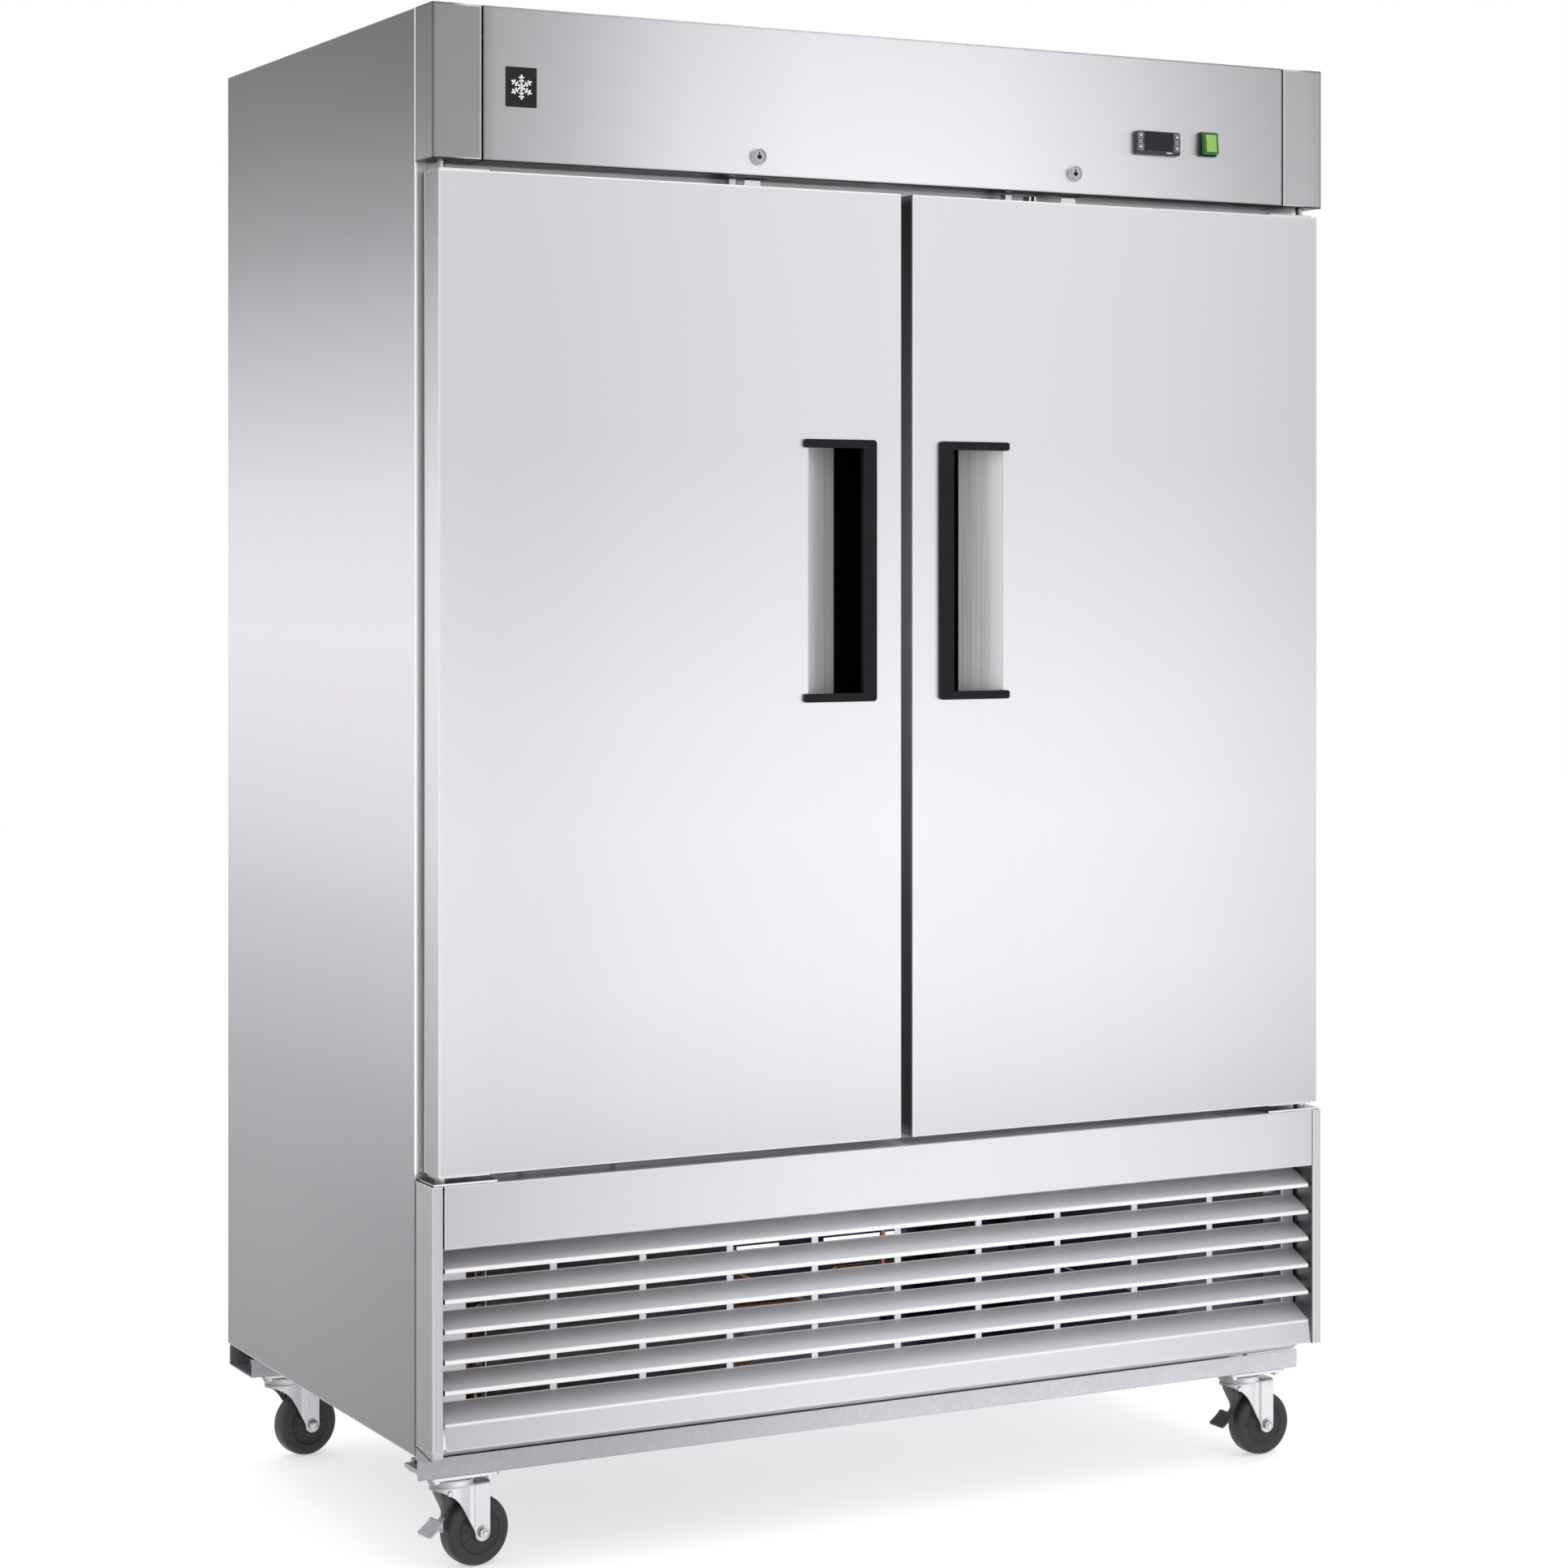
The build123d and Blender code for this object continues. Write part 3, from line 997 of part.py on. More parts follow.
def brake_pedal():
    """Lever hung from the fork with a foot pad on the side away from the wheel."""
    pivot_x, pivot_z = PEDAL_PIVOT
    hub_z = (pivot_z - 5.5, pivot_z + 5.5)
    arms = []
    for low, high in ((-18.5, -16.0), (16.0, 18.5)):
        arms.append(block((pivot_x - 5, pivot_x + 5), (low, high), (62.0, pivot_z)))
        arms.append(rod(5.5, (pivot_x, low, pivot_z), (pivot_x, high, pivot_z)))
    hub = block((pivot_x - 4, pivot_x + 4), (-18.5, 18.5), (hub_z[0], pivot_z - 4))
    pad = Pos(-30, 0, 55.5) * Rot(0, -32, 0) * Box(34, 37, 4)
    pad = fillet(pad.edges().filter_by(lambda edge: abs((edge % 0.5).Y) < 0.01 and edge.length < 5), 1.5)
    web = block((pivot_x - 5, pivot_x - 2), (-18.5, 18.5), (60.0, 74.0))
    pedal = hub.fuse(*arms, pad, web)
    return pedal - rod(3.0 + PIN_CLEARANCE, (pivot_x, -20, pivot_z), (pivot_x, 20, pivot_z))


# ---------------------------------------------------------------- fasteners
def hex_bolt(x, y, head_z, length):
    """Bolt that points up, its head under the surface at head_z."""
    head = Pos(x, y, head_z) * extrude(RegularPolygon(7.0, 6), -5.0)
    return head + rod(4.0, (x, y, head_z - 0.5), (x, y, head_z + length))


def pan_screw(x, y, z, outwards):
    """Small screw head standing on a face whose outward side is -Y or +Y."""
    head = rod(4.0, (x, y, z), (x, y + outwards * 2.4, z))
    return fillet(head.edges().sort_by(Axis.Y)[0 if outwards < 0 else -1], 1.2)


def fasteners():
    """Caster bolts, and the screws on the sill strip, the hinge plates and the rear panel."""
    pieces = []
    for x, y, _ in CASTERS.values():
        for px, py in caster_bolt_places(x, y):
            pieces.append(hex_bolt(px, py, RAIL_Z[0] - CASTER_PLATE_THICK, CASTER_PLATE_THICK + 8))
    for x in (-541.0, -410.0, 410.0, 561.0):
        pieces.append(pan_screw(x, BODY_FRONT_Y, GRILLE_TOP_Z + 5.0, -1))
    for x in (-640.0, -320.0, 0.0, 320.0, 640.0):
        for z in (190.0, 480.0, 1200.0, 1980.0):
            pieces.append(pan_screw(x, BACK_Y, z, 1))
    return group(*pieces)


# ---------------------------------------------------------------- writing
def main():
    os.makedirs("parts", exist_ok=True)
    fixed = [side_panels, top_panel, rear_panel, face_frame, insulation, inner_liner, base_pan,
             base_rails, header_panels, badge, controller_housing, switch_housing, grille_stiles,
             louvre_panel, hinge_brackets, shelf_supports, wire_shelves, evaporator_cover,
             evaporator_coil, condenser_coil, fan_motors, compressor, refrigerant_lines, drain_pan,
             electrical_box, caster_plates, fasteners, condenser_fan, evaporator_fan, rocker]
    for make in fixed:
        save(make.__name__, make())

    for row, z in zip(("lower", "upper"), KEY_Z):
        for side, x in zip(("left", "right"), KEY_X):
            save(f"key_{row}_{side}", controller_key(x, z))
    for name in LOCKS:
        save(f"lock_{name}", lock(name))

    for make in (door_skin, door_foam, door_inner_panel, door_gasket, handle_frame, handle_recess):
        piece = make()
        save(f"{make.__name__}_right", piece)
        save(f"{make.__name__}_left", mirror(piece, Plane.YZ))
    plates = door_hardware()
    mirrored = [mirror(plate, Plane.YZ) for plate in plates]
    save("door_hardware_right", group(*plates, lock_catch(LOCKS["right"][0]),
                                      stop_block(STOP_X["right"]), closing_clevis()))
    save("door_hardware_left", group(*mirrored, lock_catch(LOCKS["left"][0]),
                                     stop_block(STOP_X["left"])))

    fork = caster_fork()
    wheel = caster_wheel()
    pedal = brake_pedal()
    for name in CASTERS:
        save(f"caster_fork_{name}", place_caster(name, fork))
        save(f"caster_wheel_{name}", place_caster(name, wheel))
        if name.startswith("front"):
            save(f"brake_pedal_{name}", place_caster(name, pedal))


main()
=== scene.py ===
"""Looks of the two-door stainless reach-in refrigerator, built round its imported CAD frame."""
import json
import math

import bmesh
import bpy
from mathutils import Matrix, Vector


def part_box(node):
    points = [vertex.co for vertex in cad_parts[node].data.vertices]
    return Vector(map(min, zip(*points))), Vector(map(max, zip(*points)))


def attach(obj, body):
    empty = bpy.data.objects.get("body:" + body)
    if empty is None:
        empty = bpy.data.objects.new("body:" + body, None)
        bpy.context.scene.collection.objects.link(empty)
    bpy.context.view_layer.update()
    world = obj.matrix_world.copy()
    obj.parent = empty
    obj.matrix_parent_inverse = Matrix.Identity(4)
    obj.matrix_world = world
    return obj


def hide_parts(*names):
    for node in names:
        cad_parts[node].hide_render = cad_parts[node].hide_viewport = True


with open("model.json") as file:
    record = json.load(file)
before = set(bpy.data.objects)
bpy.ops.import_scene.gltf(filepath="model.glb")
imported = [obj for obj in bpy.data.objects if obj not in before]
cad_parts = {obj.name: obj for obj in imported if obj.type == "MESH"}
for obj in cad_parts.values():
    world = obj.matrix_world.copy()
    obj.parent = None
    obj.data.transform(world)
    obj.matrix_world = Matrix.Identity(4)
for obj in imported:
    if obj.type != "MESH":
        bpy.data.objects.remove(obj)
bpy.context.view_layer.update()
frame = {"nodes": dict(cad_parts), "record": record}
nodes = frame["nodes"]
scene = bpy.context.scene


# ------------------------------------------------------------------ node helpers
class Shader:
    """A node material with short calls for the nodes that the materials here share."""

    SURFACE = {"base": "Base Color", "metal": "Metallic", "rough": "Roughness", "normal": "Normal",
               "aniso": "Anisotropic", "turn": "Anisotropic Rotation", "tangent": "Tangent",
               "glow": "Emission Color", "glow_strength": "Emission Strength", "coat": "Coat Weight",
               "coat_rough": "Coat Roughness", "specular": "Specular IOR Level"}

    def __init__(self, name):
        self.material = bpy.data.materials.new(name)
        self.material.use_nodes = True
        self.tree = self.material.node_tree
        self.tree.nodes.clear()
        self.surface = self.add("ShaderNodeBsdfPrincipled")
        self.add("ShaderNodeOutputMaterial", {0: self.surface.outputs[0]})
        self.place = self.add("ShaderNodeTexCoord").outputs["Object"]

    def feed(self, node, key, value):
        """Put a number, a colour or another node's output into an input."""
        if isinstance(value, bpy.types.NodeSocket):
            self.tree.links.new(value, node.inputs[key])
        else:
            node.inputs[key].default_value = value

    def add(self, kind, inputs=(), **values):
        node = self.tree.nodes.new(kind)
        for key, value in values.items():
            setattr(node, key, value)
        for key, value in dict(inputs).items():
            self.feed(node, key, value)
        return node

    def math(self, operation, first, second=0.0):
        return self.add("ShaderNodeMath", {0: first, 1: second}, operation=operation).outputs[0]

    def axis(self, letter, source=None):
        """One coordinate of a vector, by default of the place in the cabinet's frame, in metres."""
        return self.add("ShaderNodeSeparateXYZ", {0: source or self.place}).outputs["XYZ".index(letter)]

    def off_middle(self, letter, source=None):
        return self.math("ABSOLUTE", self.axis(letter, source))

    def scaled(self, scale):
        return self.add("ShaderNodeMapping", {"Vector": self.place, "Scale": scale}).outputs[0]

    def noise(self, scale, detail=3.0, rough=0.55, vector=None):
        inputs = {"Vector": vector or self.place, "Scale": scale, "Detail": detail, "Roughness": rough}
        return self.add("ShaderNodeTexNoise", inputs).outputs["Fac"]

    def voronoi(self, scale, feature="F1", output="Distance"):
        inputs = {"Vector": self.place, "Scale": scale}
        return self.add("ShaderNodeTexVoronoi", inputs, feature=feature).outputs[output]

    def spread(self, value, low, high, to_low=0.0, to_high=1.0):
        """Map the range low to high onto to_low to to_high, and hold it beyond its ends."""
        inputs = {"Value": value, "From Min": low, "From Max": high, "To Min": to_low, "To Max": to_high}
        return self.add("ShaderNodeMapRange", inputs, clamp=True).outputs[0]

    def curve(self, value, stops):
        """Grey tone through (position, brightness) stops; positions are in metres."""
        low, high = stops[0][0], stops[-1][0]
        ramp = self.add("ShaderNodeValToRGB", {0: self.spread(value, low, high)})
        elements = ramp.color_ramp.elements
        while len(elements) < len(stops):
            elements.new(0.5)
        for element, (position, tone) in zip(elements, stops):
            element.position = (position - low) / (high - low)
            element.color = grey(tone)
        return ramp.outputs[0]

    def mix(self, factor, first, second, blend="MIX"):
        inputs = {0: factor, 6: first, 7: second}
        return self.add("ShaderNodeMix", inputs, data_type="RGBA", blend_type=blend).outputs[2]

    def times(self, first, second):
        return self.mix(1.0, first, second, "MULTIPLY")

    def bump(self, height, strength, distance, normal=None):
        inputs = {"Strength": strength, "Distance": distance, "Height": height}
        if normal is not None:
            inputs["Normal"] = normal
        return self.add("ShaderNodeBump", inputs).outputs[0]

    def bevel(self, radius):
        return self.add("ShaderNodeBevel", {"Radius": radius}, samples=4).outputs[0]

    def world_normal(self):
        return self.add("ShaderNodeNewGeometry").outputs["Normal"]

    def own_normal(self):
        return self.add("ShaderNodeTexCoord").outputs["Normal"]

    def edges(self, round_edge, full, most):
        """Mask of the bent edges: most where the rounded normal turns away by the cosine full."""
        inputs = {0: round_edge, 1: self.world_normal()}
        turned = self.add("ShaderNodeVectorMath", inputs, operation="DOT_PRODUCT").outputs["Value"]
        return self.spread(turned, 0.999, full, 0.0, most)

    def finish(self, **values):
        for key, value in values.items():
            self.feed(self.surface, self.SURFACE[key], value)
        return self.material


def rgb(red, green, blue):
    return (red, green, blue, 1.0)


def grey(value, tint=(1.0, 1.0, 1.0)):
    return rgb(value * tint[0], value * tint[1], value * tint[2])


def paler(colour, factor, lift):
    return [min(1, value * factor + lift) for value in colour]


# ------------------------------------------------------------------ steel sheets
COOL = (0.995, 0.985, 1.03)
VIOLET = (1.0, 0.975, 1.04)
BRUSHED = {"Z": (420, 420, 5), "X": (5, 420, 420)}  # scale of the brush lines by their direction

# Painted reflection, highlight and shade of the sheets over height or width: (metres, brightness).
DOOR_PAINTED_LIGHT_ALONG = [(0.526, 0.725), (0.62, 0.82), (0.75, 0.92), (0.95, 1.0), (1.10, 0.995), (1.25, 0.945),
             (1.45, 0.87), (1.797, 0.885)]
DOOR_PAINTED_LIGHT_ACROSS = [(-0.68, 0.83), (-0.60, 0.815), (-0.50, 0.836), (-0.40, 0.88), (-0.20, 0.94), (-0.02, 0.97),
               (0.25, 0.945), (0.45, 0.895), (0.68, 0.79)]
HEADER_PAINTED_LIGHT_ACROSS = [(-0.690, 0.31), (-0.618, 0.325), (-0.600, 0.447), (-0.50, 0.555), (-0.45, 0.635),
                 (-0.40, 0.71), (-0.33, 0.81), (-0.15, 0.948), (-0.05, 0.963), (0.05, 0.96), (0.15, 0.935),
                 (0.33, 0.80),
                 (0.45, 0.67), (0.55, 0.56), (0.60, 0.515), (0.66, 0.50), (0.69, 0.42)]
HEADER_PAINTED_LIGHT_ALONG = [(1.80, 1.04), (2.01, 0.93)]
HEADER_EDGE_LIGHT = [(0.600, 0.03), (0.618, 0.03), (0.619, 0.98), (0.640, 0.98), (0.660, 0.02), (0.690, 0.02)]
FRONT_LINE_PAINTED_LIGHT = [(0.10, 0.04), (0.515, 0.04), (0.525, 0.97), (2.007, 0.90)]
SIDE_PAINTED_LIGHT_ALONG = [(0.16, 0.243), (0.45, 0.305), (0.58, 0.365), (0.70, 0.458), (0.82, 0.565), (0.95, 0.74),
              (1.07, 0.85), (1.20, 0.92), (1.30, 0.90), (1.40, 0.832), (1.55, 0.635), (1.65, 0.502),
              (1.75, 0.347), (1.90, 0.199), (2.007, 0.143)]
FRAME_PAINTED_LIGHT_ALONG = [(0.50, 1.35), (0.512, 1.35), (0.524, 1.2), (0.60, 1.0), (1.78, 1.0), (1.808, 1.25),
               (1.813, 0.75), (1.822, 0.45), (1.85, 0.40)]
GRILLE_PAINTED_LIGHT_ACROSS = [(-0.69, 0.54), (-0.60, 0.594), (-0.50, 0.658), (-0.30, 0.755), (-0.10, 0.828), (0.10, 0.838),
                 (0.30, 0.81), (0.50, 0.75), (0.60, 0.708), (0.69, 0.62)]
RAIL_PAINTED_LIGHT_ACROSS = [(-0.70, 0.55), (-0.40, 0.60), (0.0, 0.92), (0.30, 0.95), (0.70, 0.90)]
SCOOP_PAINTED_LIGHT_ACROSS = [(0.055, 0.36), (0.090, 0.44), (0.110, 0.51), (0.130, 0.69), (0.150, 1.25)]
NOSE_HIGHLIGHT_ALONG = [(0.2090, 0.0), (0.2110, 0.9), (0.2130, 0.9), (0.2150, 0.0), (0.2400, 0.0), (0.2420, 1.0),
              (0.4310, 1.0), (0.4325, 0.0)]
# Painted reflection of the zinc plating by how far its faces look forward.
ZINC_PAINTED_REFLECTION = [(0.0, 0.45), (0.55, 0.38), (0.85, 0.60), (0.97, 0.95), (1.0, 1.14)]  # over the normal's Y

DOOR_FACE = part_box("door_skin_left")[0][1]
SIDE_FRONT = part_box("side_panels")[0][1]
LOUVRE_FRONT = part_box("louvre_panel")[0][1]
LOUVRE_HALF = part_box("louvre_panel")[1][0]
STILE_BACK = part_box("grille_stiles")[1][1]
STILE_SIDE = 0.684  # distance of the posts' outer walls from the middle
LIP_TOP, LIP_LOW = 1.8118, 1.8110  # bent lip at the foot of the header
UNDER_FRONT, UNDER_BACK = -0.376, -0.366  # painted shade makes the header's underside black in front and leaves it lit at the back


def header_underside(s, colour):
    """Dull warm strip with fine lines on the header's downward faces, darker as painted shade, and painted
    black shade on its front and along the lip.
    """
    under = s.spread(s.axis("Z", s.world_normal()), -0.6, -0.8)
    lines = s.noise(1.0, 2.0, 0.6, s.scaled((4, 900, 4)))
    # Downward faces: dull warm grey with fine lines, darker than the face as painted shade.
    colour = s.mix(under, colour, s.mix(lines, rgb(0.50, 0.46, 0.45), rgb(0.86, 0.81, 0.80)))
    # Painted shade: black on the front of the underside and along the lip.
    shade = s.math("MULTIPLY", under, s.spread(s.axis("Y"), UNDER_BACK, UNDER_FRONT))
    lip = s.math("MAXIMUM", shade, s.spread(s.axis("Z"), LIP_TOP, LIP_LOW, 0.0, 0.9))
    metal = s.math("MAXIMUM", s.spread(under, 0.0, 1.0, 1.0, 0.2), lip)
    return s.mix(lip, colour, grey(0.006)), metal


def rolled_front(s, colour):
    """Side sheet: a painted highlight along the rolled front edge, and painted shade on the front half near
    the top and the bottom.
    """
    from_middle = s.math("ABSOLUTE", s.math("SUBTRACT", s.axis("Z"), 1.15))
    # Painted shade on the front half near the top and the bottom.
    ends = s.spread(from_middle, 0.45, 0.75, 0.0, 0.12)
    shade = s.math("MULTIPLY", s.spread(s.axis("Y"), 0.15, -0.30), ends)
    colour = s.mix(shade, colour, grey(0.0))
    # Painted highlight along the rolled front edge, painted black as shade below the doors.
    line = s.spread(s.axis("Y"), SIDE_FRONT + 0.0045, SIDE_FRONT + 0.0030, 0.0, 0.9)
    return s.mix(line, colour, s.curve(s.axis("Z"), FRONT_LINE_PAINTED_LIGHT)), 1.0


def louvre_faces(s, colour):
    """Grille: dull leaning slats a little darker as painted shade, pale noses as painted highlight, and a
    dark line at the rear edge of the posts.
    """
    lean = s.off_middle("Z", s.world_normal())
    front = s.spread(s.axis("Y"), LOUVRE_FRONT + 0.0085, LOUVRE_FRONT + 0.0040)
    inside = s.spread(s.off_middle("X"), LOUVRE_HALF + 0.0008, LOUVRE_HALF + 0.0002)
    # Painted highlight on the slats' noses.
    nose_highlight = s.math("MULTIPLY", s.math("MULTIPLY", front, inside), s.curve(s.axis("Z"), NOSE_HIGHLIGHT_ALONG))
    slope = s.math("MAXIMUM", s.spread(lean, 0.15, 0.35), nose_highlight)
    # Painted shade makes the leaning slats a little darker; the noses take a pale painted highlight.
    colour = s.mix(slope, colour, s.times(colour, grey(0.92)))
    colour = s.mix(s.math("MULTIPLY", nose_highlight, 0.7), colour, grey(0.98))
    rear = s.math("MULTIPLY", s.spread(s.axis("Y"), STILE_BACK - 0.0032, STILE_BACK - 0.0022, 0.0, 0.9),
                  s.spread(s.off_middle("X"), STILE_SIDE - 0.0005, STILE_SIDE + 0.0005))
    return s.mix(rear, colour, grey(0.03)), s.spread(slope, 0.0, 1.0, 1.0, 0.15)


def steel(name, tone, along=None, across=None, rough=0.32, grain="Z", bend=0.0022, edge_light=0.8,
          edge_light_tone=None, special=None, tint=COOL):
    """Brushed stainless sheet.

    along and across are painted reflection and shade over height and width, and with across the
    faces turned sideways take the side panel's painted reflection; bend is the radius of its bent edges,
    edge_light is how far these edges take a painted highlight, the argument after it is that highlight's
    tone over the distance from the middle, and special adds what only one sheet has.
    """
    s = Shader(name)
    colour = grey(tone, tint)
    # Painted reflection and shade over height and width.
    if along:
        colour = s.times(colour, s.curve(s.axis("Z"), along))
    if across:
        colour = s.times(colour, s.curve(s.axis("X"), across))
        # Faces turned sideways take the side panel's painted reflection.
        sideways = s.spread(s.off_middle("X", s.world_normal()), 0.6, 0.9)
        colour = s.mix(sideways, colour, s.times(grey(0.88, tint), s.curve(s.axis("Z"), SIDE_PAINTED_LIGHT_ALONG)))
    scale = BRUSHED[grain]
    streak = s.noise(1.0, 3.0, 0.65, s.scaled(scale))
    fine = s.noise(1.0, 2.0, 0.6, s.scaled(tuple(3.1 * value for value in scale)))
    colour = s.mix(s.spread(streak, 0.3, 0.7, 0.0, 0.05), colour, grey(tone * 0.72))
    cloud = s.spread(s.noise(1.3, 2.0, 0.5), 0.45, 0.7, 0.0, 0.5)
    colour = s.mix(cloud, colour, s.times(colour, rgb(1.012, 0.985, 0.985)))
    # Painted highlight on the bent edges, in a tone over the width if one is given.
    round_edge = s.bevel(bend)
    bright = s.curve(s.off_middle("X"), edge_light_tone) if edge_light_tone else grey(0.97)
    colour = s.mix(s.edges(round_edge, 0.90, edge_light), colour, bright)
    colour, metal = special(s, colour) if special else (colour, 1.0)
    height = s.math("ADD", s.math("MULTIPLY", streak, 0.03), s.math("MULTIPLY", fine, 0.018))
    relief = s.bump(height, 0.35, 0.0006, round_edge)
    relief = s.bump(s.noise(2.2, 1.0, 0.4), 0.06, 0.012, relief)
    tangent = s.add("ShaderNodeTangent", direction_type="RADIAL", axis="Z").outputs[0]
    turn = {"Z": 0.0, "X": 0.25}[grain]
    return s.finish(base=colour, metal=metal, normal=relief, aniso=0.6, tangent=tangent, turn=turn,
                    rough=s.spread(streak, 0.25, 0.75, rough - 0.04, rough + 0.05))


def scoop_steel():
    """Deep-drawn scoop beside a pull: satin steel with painted shade that darkens it towards the middle of
    the cabinet, and a painted highlight at its outer edge.
    """
    s = Shader("stainless_recess")
    # Painted shade towards the middle and a painted highlight at the outer edge.
    colour = s.times(grey(0.52, (1.0, 0.965, 1.0)), s.curve(s.off_middle("X"), SCOOP_PAINTED_LIGHT_ACROSS))
    streak = s.noise(1.0, 3.0, 0.6, s.scaled((260, 260, 2.5)))
    colour = s.mix(s.spread(streak, 0.35, 0.7, 0.0, 0.16), colour, grey(0.80))
    return s.finish(base=colour, metal=0.25, rough=0.42, specular=0.3,
                    normal=s.bump(streak, 0.08, 0.0004, s.bevel(0.001)))


# ------------------------------------------------------------------ other materials
def galvanised():
    """Zinc-coated sheet with a fine crystal spangle, painted shade that darkens it towards the left, and a
    few scuffs.
    """
    s = Shader("galvanised_sheet")
    crystals = s.axis("X", s.voronoi(170.0, output="Color"))
    colour = s.mix(crystals, rgb(0.60, 0.61, 0.65), rgb(0.69, 0.70, 0.74))
    # Painted shade: darker towards the left.
    colour = s.times(colour, s.curve(s.axis("X"), RAIL_PAINTED_LIGHT_ACROSS))
    colour = s.mix(s.spread(s.noise(14.0, 4.0, 0.6), 0.35, 0.7, 0.0, 0.25), colour, rgb(0.45, 0.46, 0.49))
    specks = s.noise(260.0, 2.0, 0.5)
    colour = s.mix(s.spread(specks, 0.68, 0.73, 0.0, 0.6), colour, rgb(0.26, 0.27, 0.29))
    return s.finish(base=colour, metal=0.9, rough=s.spread(crystals, 0.0, 1.0, 0.38, 0.50),
                    normal=s.bump(crystals, 0.06, 0.0004, s.bevel(0.001)))


def zinc():
    """Bright zinc plating with painted reflection, pale on faces that look forward and darker where the sheet
    turns away, and painted light on faces that look down.
    """
    tone = 0.62
    s = Shader("zinc_plate")
    cloud = s.noise(38.0, 4.0, 0.6)
    colour = s.mix(cloud, rgb(tone * 0.96, tone, tone * 1.07), rgb(tone * 1.02, tone, tone * 0.99))
    # Painted reflection: pale where the faces look forward, darker where they turn away.
    colour = s.times(colour, s.curve(s.off_middle("Y", s.own_normal()), ZINC_PAINTED_REFLECTION))
    scuff = s.noise(1.0, 4.0, 0.7, s.scaled((500, 120, 120)))
    colour = s.mix(s.spread(scuff, 0.60, 0.78, 0.0, 0.35), colour, grey(tone * 0.45))
    # Painted light: faces that look down turn pale and less metallic.
    under = s.spread(s.axis("Z", s.own_normal()), -0.20, -0.45)
    colour = s.mix(s.math("MULTIPLY", under, 0.8), colour, grey(0.80))
    return s.finish(base=colour, metal=s.spread(under, 0.0, 1.0, 1.0, 0.3),
                    rough=s.spread(cloud, 0.3, 0.7, 0.20, 0.34),
                    normal=s.bump(scuff, 0.08, 0.0003, s.bevel(0.0008)))


def pedal_steel():
    """Dark coated pressed steel, with a painted highlight that turns the left pad pale grey."""
    s = Shader("pedal_steel")
    cloud = s.noise(60.0, 4.0, 0.6)
    # Painted highlight on the left pad.
    left_pad_highlight = s.math("MULTIPLY", s.spread(s.axis("X"), 0.0, -0.4), s.spread(s.axis("Z"), 0.070, 0.063))
    base = s.mix(left_pad_highlight, rgb(0.060, 0.062, 0.066), rgb(0.44, 0.45, 0.47))
    base = s.mix(s.spread(cloud, 0.35, 0.7, 0.0, 0.35), base, s.times(base, grey(0.6)))
    return s.finish(base=base, metal=0.5, rough=s.spread(cloud, 0.3, 0.7, 0.30, 0.45),
                    normal=s.bump(s.noise(420.0, 2.0, 0.5), 0.06, 0.0003, s.bevel(0.0006)))


def plastic(name, colour, rough=0.45, grain=900.0, depth=0.10, edge_highlight=0.25, specular=0.25, painted_shade_from=None):
    """Moulded plastic with a fine spark-eroded texture and a painted highlight on its rounded edges.

    The last argument is the depth behind which painted shade turns the plastic black and dull.
    """
    s = Shader(name)
    cloud = s.noise(45.0, 3.0, 0.6)
    base = s.mix(s.spread(cloud, 0.35, 0.7, 0.0, 0.35), rgb(*colour), rgb(*paler(colour, 1.35, 0.004)))
    round_edge = s.bevel(0.0007)
    # Painted highlight on the rounded edges.
    base = s.mix(s.edges(round_edge, 0.93, edge_highlight), base, rgb(*paler(colour, 2.2, 0.03)))
    # Painted shade: black and dull behind the given depth.
    if painted_shade_from is not None:
        shown = s.spread(s.axis("Y"), painted_shade_from, painted_shade_from + 0.006, 1.0, 0.0)
        base = s.mix(shown, rgb(0.0008, 0.0008, 0.001), base)
        specular = s.math("MULTIPLY", shown, specular)
    return s.finish(base=base, metal=0.0, rough=s.spread(cloud, 0.3, 0.7, rough - 0.05, rough + 0.07),
                    specular=specular, coat=0.0, coat_rough=0.15,
                    normal=s.bump(s.noise(grain, 3.0, 0.6), depth, 0.0002, round_edge))


def coated(name, colours, cloud, share, texture, relief, rough, **values):
    """Two tones in soft clouds under a fine relief. share is the second tone's range and most."""
    s = Shader(name)
    clouds = s.noise(*cloud)
    low, high, most = share
    base = s.mix(s.spread(clouds, low, high, 0.0, most), rgb(*colours[0]), rgb(*colours[1]))
    return s.finish(base=base, rough=s.spread(clouds, 0.3, 0.7, *rough),
                    normal=s.bump(s.noise(*texture), relief, 0.0003, s.bevel(0.0006)), **values)


def rubber(name, colour, rough, dust):
    """Solid rubber with a dull bloom and a little dust."""
    return coated(name, (colour, paler(colour, 2.1, 0.03)), (28.0, 5.0, 0.65), (0.4, 0.75, dust),
                  (1400.0, 3.0, 0.7), 0.15, (rough - 0.08, rough + 0.08), specular=0.4)


def enamel(name, colour, rough=0.35, metal=0.0):
    """Sprayed paint with a faint orange-peel surface."""
    darker = [value * 0.78 for value in colour]
    return coated(name, (colour, darker), (20.0, 3.0, 0.5), (0.35, 0.7, 0.3), (420.0, 2.0, 0.5), 0.06,
                  (rough - 0.05, rough + 0.06), metal=metal, coat=0.2, coat_rough=0.2)


def bare_metal(name, colour, rough):
    """Plain metal with small tone changes and fine drawing lines."""
    s = Shader(name)
    darker = [value * 0.8 for value in colour]
    base = s.mix(s.spread(s.noise(30.0, 4.0, 0.6), 0.3, 0.75), rgb(*colour), rgb(*darker))
    line = s.noise(1.0, 3.0, 0.6, s.scaled((300, 300, 300)))
    return s.finish(base=base, metal=1.0, rough=s.spread(line, 0.3, 0.7, rough - 0.06, rough + 0.08),
                    normal=s.bump(line, 0.08, 0.0003, s.bevel(0.0005)))


